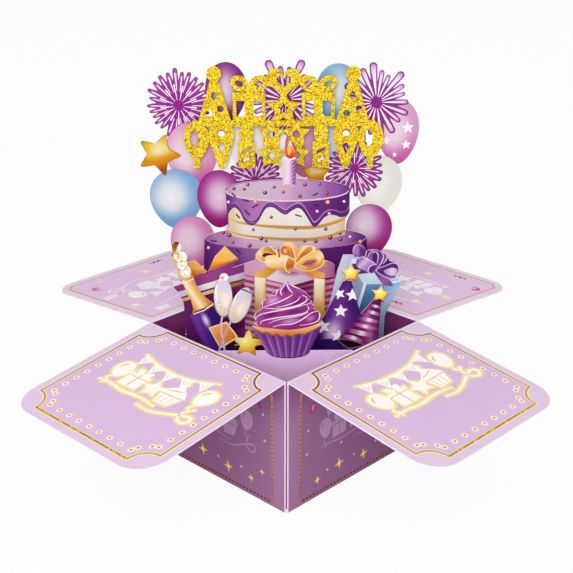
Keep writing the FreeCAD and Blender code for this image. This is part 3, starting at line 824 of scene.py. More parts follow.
def drawSprinkles(page):
    # Sugar pearls, their size drawn by a fixed seed, small balls and sticks
    pick = random.Random(7)
    pearls = [(-25.5, 71.2), (-20.3, 70.8), (-9.7, 68.9), (-0.4, 69.2), (8.1, 67.0), (-18.4, 73.2),
              (-5.0, 71.8),
              (10.6, 73.1), (18.3, 73.2), (21.8, 68.3), (-15.9, 49.0), (5.8, 49.2), (21.5, 49.2), (-11.8, 44.1),
              (-9.3, 42.8), (10.7, 42.6), (16.4, 42.4), (23.9, 44.4), (29.3, 43.4), (-31.5, 47.5),
              (-28.3, 46.1),
              (-26.5, 42.1), (-17.9, 40.2), (28.9, 46.6), (-6.6, 55.7)]
    for x, y in pearls:
        r = pick.uniform(0.8, 1.25)
        page.add(ring(x, y, r, count=12), (104, 20, 60))
        page.add(ring(x - 0.1 * r, y + 0.1 * r, r * 0.7, count=10), (142, 42, 84))
        page.add(ring(x - 0.25 * r, y + 0.3 * r, r * 0.3, count=8), (244, 214, 226))
    for x, y, warm in ((-28.5, 64.0, 0), (17.0, 58.8, 0), (23.2, 57.5, 0), (30.7, 64.0, 0), (22.3, 63.7, 1),
                       (-14.7, 64.3, 1), (-39.3, 39.2, 0), (34.2, 44.8, 0), (39.6, 42.1, 1), (-33.0, 30.0, 1),
                       (34.0, 33.0, 0)):
        r = 1.15 if warm else 0.85
        page.add(ring(x, y, r, count=12), (214, 130, 80) if warm else (214, 150, 176))
        page.add(ring(x - 0.1, y + 0.15, r * 0.62, count=10), (246, 190, 130) if warm else (250, 236, 240))
    for x0, y0, x1, y1 in ((-26.7, 68.8, -24.7, 66.7), (-21.0, 65.3, -18.0, 64.2), (-16.4, 60.8, -13.2, 62.7),
                           (-20.0, 59.5, -17.6, 56.8), (14.6, 67.0, 17.3, 68.6), (14.8, 62.6, 17.2, 61.6),
                           (-24.7, 57.5, -22.8, 55.3), (5.7, 57.0, 9.1, 55.9), (27.3, 62.0, 29.0, 63.2),
                           (-38.3, 43.0, -34.9, 42.7), (-24.9, 38.3, -22.6, 35.8), (26.5, 39.2, 29.4, 38.6),
                           (-34.0, 35.0, -31.5, 33.0), (36.0, 37.0, 38.6, 36.0)):
        page.add(stroke([(x0, y0), ((x0 + x1) / 2, (y0 + y1) / 2), (x1, y1)], 0.75), (66, 18, 58))


def stripes(page, topLeft, topRight, lowLeft, lowRight, count, paint, share=0.5, shift=0.0):
    # Strips between two side lines, each the given share of its step
    for n in range(count):
        t0, t1 = (n + shift) / count, (n + shift + share) / count
        page.add([mixed(topLeft, lowLeft, t0), mixed(topRight, lowRight, t0),
                  mixed(topRight, lowRight, t1), mixed(topLeft, lowLeft, t1)], paint)


def bowLoop(page, outer, inner, run, inside, edge, width=0.5):
    # A ribbon loop with its open inside and a light line along its edge
    page.add(curved(outer), run, fine=1.3)
    if inner:
        page.add(curved(inner), inside, fine=1.3 if callable(inside) else 0)
    closed = curved(outer)
    page.add(stroke(closed + closed[:1], width, 0.7), edge)


def drawGiftSheet():
    page = Print()
    # Left gift: lid, white and gold bands, flat bow
    page.add([(-62, -12), (-8, -12), (-8, 44), (-62, 30)],
             across(-55, 5, -20, 5, (100, 22, 94), (0.6, (104, 26, 92)), (120, 40, 100)))
    page.add([(-60, 30), (-57.5, 18.4), (-20.3, 31.0), (-13.0, 31.5), (-13.0, 48), (-60, 48)],
             across(-55, 28, -20, 34, (128, 46, 122), (0.5, (148, 64, 134)), (126, 42, 118)), fine=2.2)
    page.add([(-58, 19.2), (-20.0, 31.2), (-20.0, 27.8), (-58, 16.0)],
             across(-54, 18, -20, 30, (196, 188, 206), (0.4, (240, 238, 244)), (0.75, (222, 216, 228)),
                    (176, 166, 190)), fine=1.6)
    page.add([(-58, 15.6), (-20.0, 27.4), (-20.0, 26.8), (-58, 15.0)], (84, 40, 70))
    page.add([(-58, 15.0), (-20.0, 26.8), (-20.0, 24.9), (-58, 13.1)],
             across(-54, 14, -20, 26, (206, 150, 70), (0.35, (250, 226, 160)), (0.7, (206, 152, 70)),
                    (150, 96, 40)), fine=1.6)
    stripes(page, (-52.5, 13.0), (-20.0, 23.0), (-52.5, -12), (-20, -2), 3, (96, 24, 92), 0.4, 0.3)
    page.add(curved([(-38.7, 32.4), (-38.4, 36.6), (-36.6, 39.6), (-33.6, 42.6), (-30.4, 45.0), (-27.8, 44.4),
                     (-25.4, 41.4),
                     (-23.4, 38.2), (-28.7, 36.2), (-33.6, 34.0)]),
             across(-31, 45, -31, 33, (240, 184, 92), (0.6, (238, 176, 80)), (0.85, (222, 140, 44)),
                    (190, 96, 20)), fine=1.4)
    page.add([(-39.2, 31.6), (-33.6, 33.4), (-28.7, 35.8), (-23.6, 37.8), (-24.0, 38.6), (-28.7, 36.9),
              (-33.8, 35.0), (-38.8, 32.8)], (200, 108, 26))
    page.add(curved([(-50.8, 24.4), (-50.6, 34.6), (-49.4, 36.6), (-46.6, 37.3), (-43.2, 36.4), (-40.6, 34.6),
                     (-38.6, 32.0),
                     (-41.0, 30.4), (-44.0, 29.8)]),
             across(-46, 38, -46, 29, (238, 182, 92), (0.55, (236, 172, 78)), (0.8, (216, 132, 40)),
                    (184, 92, 18)), fine=1.4)
    # Centre gift: two striped sides that meet at the front corner, lid, ribbons and bow
    corner = 4.0
    page.add([(-20.6, 31.5), (corner, 25.5), (corner, -12), (-20.6, -12)],
             across(-20, 10, corner, 8, (150, 66, 116), (0.5, (160, 76, 124)), (136, 52, 104)), fine=2.5)
    page.add([(corner, 25.5), (26.4, 30.5), (26.4, -12), (corner, -12)],
             across(corner, 10, 26, 10, (84, 12, 58), (0.6, (122, 32, 86)), (140, 44, 98)), fine=2.5)
    stripes(page, (-20.6, 29.0), (corner, 22.8), (-20.6, -13.0), (corner, -19.2), 12,
            across(-20, 10, corner, 8, (212, 150, 178), (0.5, (222, 168, 190)), (204, 136, 164)), 0.5)
    stripes(page, (corner, 22.8), (26.4, 27.6), (corner, -19.2), (26.4, -14.4), 12,
            across(corner, 10, 26, 10, (132, 52, 92), (0.6, (170, 90, 132)), (198, 126, 162)), 0.5)
    page.add([(corner, 23.4), (26.4, 28.2), (26.4, 27.4), (corner, 22.4)], (78, 18, 58))
    page.add([(-20.6, 29.6), (-20.6, 36.4), (-12.0, 40.0), (20.0, 40.0), (26.4, 36.6), (26.4, 28.2),
              (15.4, 26.8), (corner, 23.4), (-9.8, 27.0)],
             across(-20, 33, 26, 33, (200, 146, 180), (0.3, (210, 164, 192)), (0.6, (204, 144, 180)),
                    (0.85, (184, 112, 158)), (158, 86, 136)), fine=1.8)
    page.add([(-9.6, 27.3), (-3.7, 32.0), (5.4, 31.0), (15.2, 27.0), (corner, 23.4)],
             glowing(across(-9, 30, 15, 27, (228, 214, 226), (0.6, (222, 200, 218)), (204, 166, 198)),
                     (3.4, 31.4, 9.0, 4.0, -3, (160, 80, 136))), fine=1.2)
    for loop, light, deep in (([(-15.3, 30.6), (-8.6, 33.6), (-3.4, 32.4), (-9.6, 27.4), (-15.3, 28.0)],
                               (232, 180, 84), (206, 132, 36)),
                              ([(20.8, 30.2), (14.2, 32.0), (8.0, 32.6), (15.4, 27.0), (20.8, 27.6)],
                               (232, 170, 74), (200, 122, 34))):
        page.add(loop, across(loop[0][0], 30, loop[2][0], 31, light, deep), fine=1.4)
    for left, right, top in ((-15.3, -9.8, 28.2), (15.3, 20.6, 27.4)):
        page.add([(left - 0.3, top + 0.2), (right + 0.3, top - 0.4), (right + 0.3, -12), (left - 0.3, -12)],
                 (206, 140, 60))
        page.add([(left, top), (right, top - 0.6), (right, -12), (left, -12)],
                 glowing(across(left, top, left, -2, (246, 238, 218), (0.3, (240, 222, 180)),
                                (0.65, (216, 160, 72)), (0.9, (190, 128, 40)), (176, 112, 40)),
                         (right, 14, 1.6, 18, 0, (226, 168, 80))), fine=1.3)
    drawGoldBow(page)
    drawBlueGift(page)
    return page


def drawGoldBow(page):
    cream = (250, 226, 178)
    page.add([(-16, 38.6), (-16, 48), (21, 48), (21.4, 33.6), (12, 33.6), (-8, 38.6)], (206, 140, 62))
    # The standing ribbon and the loops behind it, then the low right, the left and the rolled loop
    bowLoop(page, [(2.2, 46.2), (5.3, 47.2), (9.7, 46.6), (12.4, 45.4), (9.7, 42.7), (7.2, 39.4), (5.6, 36.6),
                   (5.0, 41.1)], None,
            across(8, 47, 5, 37, (240, 208, 144), (0.5, (226, 168, 88)), (196, 112, 40)), None, cream, 0.35)
    bowLoop(page, [(5.5, 36.0), (7.2, 40.7), (10.3, 44.3), (13.1, 46.0), (15.4, 44.0), (14.4, 41.1),
                   (10.3, 38.9), (7.2, 36.5)],
            [(7.6, 38.7), (9.7, 42.0), (12.8, 44.7), (14.2, 43.5), (12.9, 41.2), (9.7, 39.6)],
            across(6, 37, 14, 46, (206, 122, 42), (0.5, (238, 188, 104)), (246, 216, 150)),
            across(8, 39, 14, 44, (186, 88, 26), (222, 134, 52)), cream)
    bowLoop(page, [(-3.7, 40.4), (-4.0, 43.8), (-2.1, 46.2), (0.7, 46.8), (2.9, 45.6), (4.7, 42.4), (5.4, 38.4),
                   (3.5, 38.4), (1.0, 39.8), (-1.5, 39.4)],
            [(-1.4, 40.8), (-1.7, 43.6), (-0.3, 45.2), (1.6, 44.4), (3.2, 41.6), (4.0, 39.2), (1.8, 39.9)],
            across(-4, 42, 5, 41, (222, 156, 72), (0.4, (242, 200, 126)), (208, 118, 38)),
            glowing(across(-2, 41, 4, 42, (178, 92, 44), (0.5, (204, 112, 54)), (216, 122, 40)),
                    (0.4, 42.4, 1.3, 1.8, 0, (238, 214, 190))), cream)
    bowLoop(page, [(5.1, 34.2), (8.5, 37.7), (12.2, 40.7), (15.9, 42.2), (19.0, 40.9), (20.2, 37.3),
                   (19.1, 34.3), (16.0, 32.4), (12.3, 31.4), (8.5, 32.0)],
            [(6.8, 34.5), (9.7, 36.7), (12.8, 37.7), (16.0, 38.3), (17.0, 36.5), (14.9, 34.2), (11.6, 33.0),
             (8.6, 33.0)],
            glowing(across(9, 41, 13, 31, (224, 150, 62), (0.3, (240, 196, 116)), (0.7, (228, 160, 72)),
                           (204, 118, 40)),
                    (17.6, 38.6, 2.4, 3.4, -20, (250, 228, 176))),
            across(9, 34, 16, 38, (238, 178, 96), (0.5, (200, 112, 46)), (226, 160, 84)), cream)
    page.add(curved([(9.2, 35.2), (12.2, 36.5), (15.6, 37.4), (15.8, 36.2), (12.9, 34.7), (10.0, 34.3)]),
             (146, 78, 124))
    bowLoop(page, [(-14.4, 39.9), (-14.0, 43.8), (-10.8, 46.3), (-7.0, 44.6), (-3.9, 41.0), (-4.2, 39.0),
                   (-9.3, 38.6), (-9.6, 36.4), (-12.0, 37.0), (-13.7, 38.4)],
            [(-11.3, 39.6), (-10.2, 41.3), (-7.1, 40.9), (-5.9, 39.6), (-9.3, 39.2)],
            glowing(across(-14, 44, -5, 38, (240, 204, 134), (0.4, (230, 172, 88)), (188, 104, 32)),
                    (-12.4, 41.4, 1.6, 3.4, 10, (250, 226, 170))), (78, 24, 62), cream)
    page.add(curved([(-10.4, 42.4), (-7.8, 42.6), (-5.2, 41.4), (-6.8, 43.8), (-9.4, 45.0)]),
             across(-10, 44, -5, 42, (214, 150, 70), (176, 100, 36)), fine=1.2)
    # The front roll with its open end
    page.add(curved([(-9.9, 37.6), (-9.0, 39.7), (-4.0, 40.0), (2.2, 39.5), (4.8, 36.6), (4.5, 33.2),
                     (2.6, 30.1), (0.2, 31.3), (-7.1, 33.3), (-9.6, 35.0)]),
             across(-5, 39.8, -4, 31.8, (240, 206, 146), (0.3, (248, 226, 180)), (0.7, (240, 198, 130)),
                    (216, 150, 70)), fine=1.2)
    page.add(curved([(2.4, 38.9), (1.2, 36.8), (0.8, 33.8), (2.3, 30.8), (4.3, 33.2), (4.7, 36.4)]),
             across(1, 38, 3, 31, (224, 144, 62), (0.6, (192, 96, 28)), (232, 176, 100)), fine=1.0)
    page.add(pen([(2.6, 39.0), (0.7, 37.0), (0.3, 33.6), (1.0, 31.4), (2.6, 30.3)], 6, 0.55, 0.6), cream)
    page.add(pen([(-9.6, 38.2), (-8.8, 39.6), (-4.0, 39.8), (2.2, 39.3)], 6, 0.5, 0.6), cream)


def drawBlueGift(page):
    page.add([(22, -12), (23.0, 11.5), (29.0, 40.6), (36.6, 40.8), (42.0, 30), (42.4, 23.9), (38.0, -12)],
             across(27, 20, 40, 18, (196, 204, 218), (0.4, (180, 190, 208)), (0.8, (152, 168, 196)),
                    (128, 150, 186)), fine=2.0)
    page.add([(33.2, 34.8), (34.6, 38.2), (48.0, 34.0), (61.0, 27.0), (58.6, 25.0), (51.7, 23.8), (42.3, 23.9),
              (38.2, 29.0)],
             across(36, 34, 54, 26, (206, 222, 232), (0.5, (196, 218, 230)), (168, 200, 220)), fine=1.8)
    page.add([(33.4, 34.9), (38.0, 29.6), (46.0, 30.2), (44.0, 33.8), (38.6, 35.8)], (74, 42, 120))
    page.add([(42.3, 23.9), (51.7, 23.6), (48.5, 14.9), (46, -12), (36.0, -12), (38.4, 9.6)],
             across(44, 24, 41, 4, (86, 134, 176), (0.4, (64, 108, 154)), (56, 90, 138)), fine=1.8)
    page.add([(38.4, 29.2), (42.3, 24.0), (38.6, 9.6), (37.0, 9.0), (40.6, 24.2), (37.2, 29.6)],
             (214, 226, 236))
    page.add([(51.7, 23.6), (61.0, 26.4), (58.2, 20.0), (53.0, 8.0), (52.0, -12), (46.0, -12), (48.5, 14.9)],
             across(50, 20, 58, 12, (130, 168, 200), (0.5, (158, 184, 210)), (124, 148, 184)), fine=1.8)
    page.add(stroke([(51.9, 23.9), (56.0, 24.8), (60.0, 25.8)], 0.7, 0.8), (226, 238, 244))
    edge = (222, 196, 228)
    dark = (70, 16, 84)
    page.add(curved([(46.0, 31.0), (48.3, 30.6), (52.1, 28.3), (56.0, 23.2), (51.5, 23.4), (48.2, 27.0)]),
             across(47, 30, 55, 24, (112, 50, 136), (0.5, (150, 88, 166)), (128, 66, 148)), fine=1.3)
    bowLoop(page, [(42.3, 38.4), (44.2, 42.2), (47.5, 43.0), (51.7, 41.6), (55.0, 38.9), (57.0, 36.0),
                   (53.1, 34.3), (49.6, 33.0), (46.6, 32.3), (45.6, 34.4), (44.0, 36.7)],
            [(49.0, 33.8), (53.4, 38.6), (55.9, 37.2), (53.0, 34.8)],
            across(44, 41, 56, 35, (138, 84, 158), (0.3, (100, 40, 122)), (0.6, (124, 68, 146)), (80, 20, 98)),
            dark, edge, 0.42)
    page.add(curved([(45.0, 40.0), (46.5, 41.2), (47.3, 38.6), (46.8, 35.6), (45.2, 37.3)]), dark)
    for line in ([(48.6, 42.6), (50.5, 39.3), (49.5, 35.6), (47.6, 32.9)],
                 [(44.6, 41.3), (46.7, 41.6), (47.8, 39.2), (47.2, 35.2)],
                 [(51.7, 41.2), (52.3, 38.2), (50.4, 35.0)]):
        page.add(pen(line, 4, 0.5, 0.5), edge)
    bowLoop(page, [(47.4, 32.3), (51.7, 34.1), (55.6, 35.5), (58.0, 34.2), (58.7, 30.5), (57.5, 27.6),
                   (54.5, 26.8), (51.0, 28.3), (47.6, 30.6)],
            [(51.0, 31.4), (55.0, 32.9), (57.6, 32.1), (57.5, 29.8), (55.5, 28.6), (52.2, 29.6)],
            across(49, 34, 53, 27, (120, 60, 144), (0.4, (84, 24, 104)), (132, 76, 156)),
            across(51, 31, 58, 31, (176, 136, 194), (0.6, (218, 196, 226)), (190, 156, 206)), edge, 0.42)
    bowLoop(page, [(34.5, 41.7), (34.8, 44.0), (37.5, 45.9), (40.7, 44.8), (41.7, 41.6), (40.4, 38.2),
                   (37.7, 38.8), (35.4, 38.8)],
            [(36.5, 43.0), (37.9, 44.1), (39.5, 43.2), (39.6, 40.9), (38.4, 39.6), (36.9, 40.2)],
            across(35, 43, 41, 41, (184, 142, 198), (0.4, (132, 78, 154)), (88, 30, 110)),
            across(37, 42, 40, 42, (170, 124, 184), (0.5, (104, 44, 128)), (76, 20, 94)), edge, 0.42)
    page.add(curved([(36.7, 36.8), (39.6, 39.4), (43.4, 37.5), (47.4, 34.6), (46.6, 31.6), (44.0, 29.8),
                     (40.9, 31.4), (37.4, 33.5)]),
             across(38, 38, 46, 31, (128, 72, 150), (0.3, (206, 178, 216)), (0.6, (166, 122, 186)),
                    (112, 54, 136)), fine=1.1)
    page.add(curved([(46.9, 34.4), (45.2, 34.3), (43.6, 32.9), (43.3, 30.9), (44.4, 30.4), (46.1, 31.8)]),
             (96, 28, 108))
    page.add(pen([(47.1, 34.6), (45.0, 34.5), (43.2, 33.0), (42.9, 30.8), (44.2, 30.0)], 4, 0.5, 0.6), edge)
    page.add(pen([(37.6, 37.4), (39.8, 39.0), (43.4, 37.1), (46.4, 35.0)], 4, 0.45, 0.6), edge)


def drawSmallStar(page, x, y, reach, turn=0.0):
    # Puffed yellow star
    page.add(curved(starLoop(x, y, reach + 0.3, 0.56, turn), True, 3), (206, 110, 20))
    page.add(curved(starLoop(x, y, reach - 0.1, 0.54, turn), True, 3),
             around(x - reach * 0.15, y + reach * 0.2, reach, reach,
                    (253, 248, 206), (0.35, (250, 230, 112)), (0.75, (243, 198, 50)), (216, 138, 22)),
             fine=reach * 0.16)


def drawBottleSheet():
    page = Print()
    # Painted shade: the sheet's low band is near black, standing for the deep shade in the gap between the
    # sheets
    page.add([(-50, -12), (50, -12), (50, 10), (-50, 10)], (50, 6, 48))
    # Bottle: foam, gold neck, two collar rings, dark body
    page.add([(-47.8, 12.6), (-42, 15.6), (-36.0, 17.4), (-32.0, 8.9), (-29.3, -12), (-42, -12), (-48.4, 9.0)],
             glowing(across(-47.6, 6, -33.0, 11, (62, 20, 108), (0.2, (96, 46, 138)), (0.42, (80, 28, 128)),
                            (0.6, (60, 14, 110)), (0.85, (44, 8, 88)), (36, 4, 74)),
                     (-40.4, 8.6, 2.3, 6.4, 22, (222, 206, 232))), fine=1.1)
    page.add([(-54, 31), (-46.0, 34.4), (-43.4, 27.6), (-39.6, 22.6), (-35.9, 18.2), (-36.2, 16.4),
              (-41.9, 15.0), (-47.9, 12.2), (-49.5, 20)],
             glowing(across(-49.6, 20, -41.2, 25, (196, 120, 44), (0.2, (228, 176, 98)),
                            (0.42, (242, 222, 186)), (0.62, (230, 182, 112)),
                            (0.84, (212, 138, 58)), (182, 96, 28)),
                     (-48.6, 32.0, 4.0, 2.4, 20, (204, 128, 44))), fine=1.2)
    for y, tone in ((31.2, (150, 80, 30)), (29.2, (255, 240, 200)), (14.6, (160, 90, 40)),
                    (13.6, (252, 232, 190))):
        page.add(stroke([(-53.0 + (31.2 - y) * 0.36, y - 1.6), (-48.0 + (31.2 - y) * 0.4, y + 0.6),
                         (-35.6, y + 4.6)] if y < 20 else
                        [(-54.0, y - 1.2), (-50.0, y + 0.4), (-44.4, y + 3.0)], 0.55, 0.9), tone)
    page.add([(-56, 31.6), (-53.4, 29.6), (-45.2, 33.6), (-46.2, 36.4), (-50, 36)], (196, 110, 40))
    for x, y, rx, ry in ((-50.5, 35.0, 3.8, 4.3), (-52.0, 39.6, 3.5, 4.0), (-54.1, 43.3, 2.9, 3.4),
                         (-51.2, 43.2, 2.8, 3.2), (-53.9, 48.2, 2.7, 3.6)):
        page.add(ring(x, y, rx, ry), around(x + 0.8, y + 0.6, rx, ry, (250, 248, 240), (0.6, (240, 230, 210)),
                                            (206, 168, 120)), fine=1.2)
    page.add(curved([(-56.8, 45.0), (-54.6, 45.8), (-53.4, 48.6), (-52.2, 51.6), (-54.6, 52.2), (-56.6, 49.6)]),
             across(-56, 46, -53, 51, (206, 140, 60), (0.5, (150, 78, 30)), (116, 52, 20)), fine=1.2)
    page.add(curved([(-57.0, 43.4), (-55.6, 44.4), (-55.4, 47.0), (-56.8, 46.6)]), (128, 62, 28))
    pick = random.Random(11)
    for x, y, r in ((-51.8, 36.6, 1.0), (-49.4, 34.2, 1.1), (-53.2, 41.2, 0.9), (-50.6, 43.6, 1.0),
                    (-48.4, 36.8, 0.9), (-54.8, 42.6, 0.8),
                    (-52.4, 45.2, 0.9), (-51.0, 39.4, 1.1), (-53.2, 37.6, 0.8), (-50.2, 41.4, 0.7),
                    (-52.6, 47.4, 0.9), (-51.6, 33.4, 0.8)):
        page.add(ring(x, y, r, count=12), mixed((206, 170, 130), (236, 214, 190), pick.random()))
        page.add(ring(x + 0.25, y + 0.3, r * 0.84, count=12), (251, 246, 236))
    # Two glasses
    stem = (214, 186, 220)
    page.add(stroke([(-31.7, 12.2), (-33.2, 4.0), (-31.2, -8.5)], 1.0), stem)
    page.add(stroke([(-27.4, 8.6), (-30.2, 2.0), (-34.0, -8.5)], 1.0), stem)
    for x, y, tilt in ((-31.3, 21.2, 0.0), (-22.8, 16.8, -22.0)):
        c, s = math.cos(math.radians(tilt)), math.sin(math.radians(tilt))
        run = across(x - 10 * s, y + 10 * c, x + 10 * s, y - 10 * c,
                     (210, 204, 218), (0.25, (218, 210, 220)), (0.45, (230, 220, 216)), (0.7, (234, 220, 202)),
                     (224, 200, 184))
        page.add(ring(x, y, 5.1, 10.6, tilt), (178, 158, 172))
        page.add(ring(x, y, 4.6, 10.2, tilt), glowing(run, (x + 1.2 * c + 2.0 * s, y + 1.2 * s - 2.0 * c, 2.8,
                                                            6.4, tilt, (248, 240, 220))), fine=1.2)
        page.add(stroke([(x - 3.4 * c + 2 * s, y - 3.4 * s - 2 * c), (x - 3.6 * c - 4 * s, y - 3.6 * s + 4 * c),
                         (x - 2.6 * c - 8 * s, y - 2.6 * s + 8 * c)], 0.6, 0.3), (255, 255, 255))
        for dx, dy in ((-2.0, -3.0), (-1.2, -5.4), (0.8, -6.4)):
            page.add(ring(x + dx * c - dy * s, y + dx * s + dy * c, 0.42, count=10), (210, 180, 176))
    page.add(stroke([(-24.4, 26.2), (-20.4, 25.2), (-16.8, 23.2)], 0.9, 0.7), (92, 84, 104))
    page.add(curved([(-34.6, 30.2), (-34.0, 32.4), (-31.8, 33.8), (-30.8, 36.4), (-28.2, 35.2), (-27.6, 32.6),
                     (-28.4, 30.4), (-31.4, 30.6)]), (240, 234, 232))
    page.add(curved([(-32.8, 31.4), (-31.6, 32.8), (-30.4, 32.0), (-31.2, 31.0)]), (206, 176, 170))
    # Little card between the stems
    page.add([(-39.2, 4.4), (-29.8, 7.8), (-23.9, -1.2), (-33.4, -7.6)], (250, 222, 184))
    page.add([(-38.3, 4.0), (-30.0, 6.9), (-25.0, -1.1), (-33.3, -6.4)],
             across(-38, 3, -26, -4, (246, 170, 96), (0.5, (238, 144, 60)), (222, 120, 40)), fine=1.3)
    page.add(stroke([(-32.4, 7.4), (-32.6, 2.0), (-31.0, -8.5)], 0.9), (226, 196, 224))
    page.add(stroke([(-28.6, 5.4), (-31.0, 0.0), (-34.2, -8.5)], 0.9), (214, 170, 206))
    drawHats(page)
    return page


def drawHats(page):
    page.add([(29.2, 30.6), (34.8, 30.6), (38.4, 14.0), (42.0, 4.0), (40.0, -12), (10, -12), (12.6, -3.6),
              (15.4, -2.9), (21.4, 12.2)],
             glowing(across(19.0, 5.0, 38.0, 12.0, (52, 16, 100), (0.3, (86, 34, 124)), (0.6, (96, 36, 126)),
                            (54, 10, 94)),
                     (31.0, 24.0, 3.0, 8.0, -12, (104, 40, 130)), (28.0, 11.0, 6.0, 6.0, 0, (124, 66, 150)),
                     (24.6, 1.6, 7.4, 10.5, -14, (220, 190, 226))), fine=1.3)
    page.add([(11.0, -12), (12.6, -3.7), (15.6, -2.9), (23.5, -2.3), (27.8, -3.0), (31.0, -6.4), (33.4, -12)],
             across(14, -5, 32, -8, (38, 10, 84), (0.6, (48, 16, 100)), (30, 6, 70)))
    for x, y, r, turn in ((27.6, 22.8, 3.3, 20), (34.4, 22.1, 3.7, 4), (28.5, 13.3, 3.8, -2),
                          (19.6, 4.6, 4.3, 14), (27.4, -0.8, 3.8, -10)):
        page.add(starLoop(x, y, r, 0.46, turn), (244, 238, 246))
    drawSmallStar(page, 33.3, 34.0, 5.0)
    # Striped hat that lies on its side
    page.add([(46.2, 21.4), (49.4, 21.4), (50.2, 12), (48.6, -3.0), (47.0, -12), (33.0, -12), (27.2, -2.4),
              (39.6, 8.6)],
             across(36.0, 4.0, 48.6, 6.0, (86, 12, 76), (0.3, (128, 38, 106)), (0.55, (164, 84, 144)),
                    (0.8, (108, 24, 92)), (72, 8, 64)), fine=1.4)
    for band in ([(43.5, 17.2), (46.5, 16.5), (49.6, 15.5), (49.4, 14.2), (46.3, 15.1), (42.6, 16.0)],
                 [(41.2, 13.9), (45.1, 13.2), (49.1, 11.7), (48.9, 10.0), (44.6, 11.5), (39.8, 12.4)],
                 [(38.2, 10.2), (43.1, 9.3), (48.6, 7.5), (48.4, 6.0), (42.7, 7.3), (36.6, 8.8)],
                 [(35.4, 7.2), (41.2, 5.6), (48.0, 3.7), (47.9, 2.0), (40.7, 3.7), (33.6, 5.7)],
                 [(32.3, 3.8), (38.7, 2.3), (47.6, -0.3), (47.4, -2.0), (38.3, -0.3), (30.6, 2.0)],
                 [(29.3, 0.4), (35.7, -0.8), (41.6, -4.0), (40.6, -5.1), (34.7, -2.8), (28.1, -1.1)]):
        page.add(curved(band[:3], False, 4) + curved(band[3:], False, 4),
                 across(band[0][0], band[0][1], band[2][0], band[2][1], (112, 24, 88), (0.26, (176, 102, 154)),
                        (0.5, (244, 226, 240)), (0.74, (176, 104, 158)), (116, 32, 96)), fine=1.2)
    page.add(curved([(27.2, -2.6), (31.0, -2.4), (35.0, -3.2), (38.6, -4.4), (41.0, -5.8), (37.0, -7.4),
                     (32.6, -7.8)]), (150, 100, 150))
    page.add(curved([(28.0, -3.1), (31.2, -2.9), (35.0, -3.7), (38.2, -4.9), (40.0, -5.9), (36.8, -6.9),
                     (32.6, -7.2)]), (24, 6, 24))
    drawSmallStar(page, 48.6, 22.6, 4.7, -8.0)


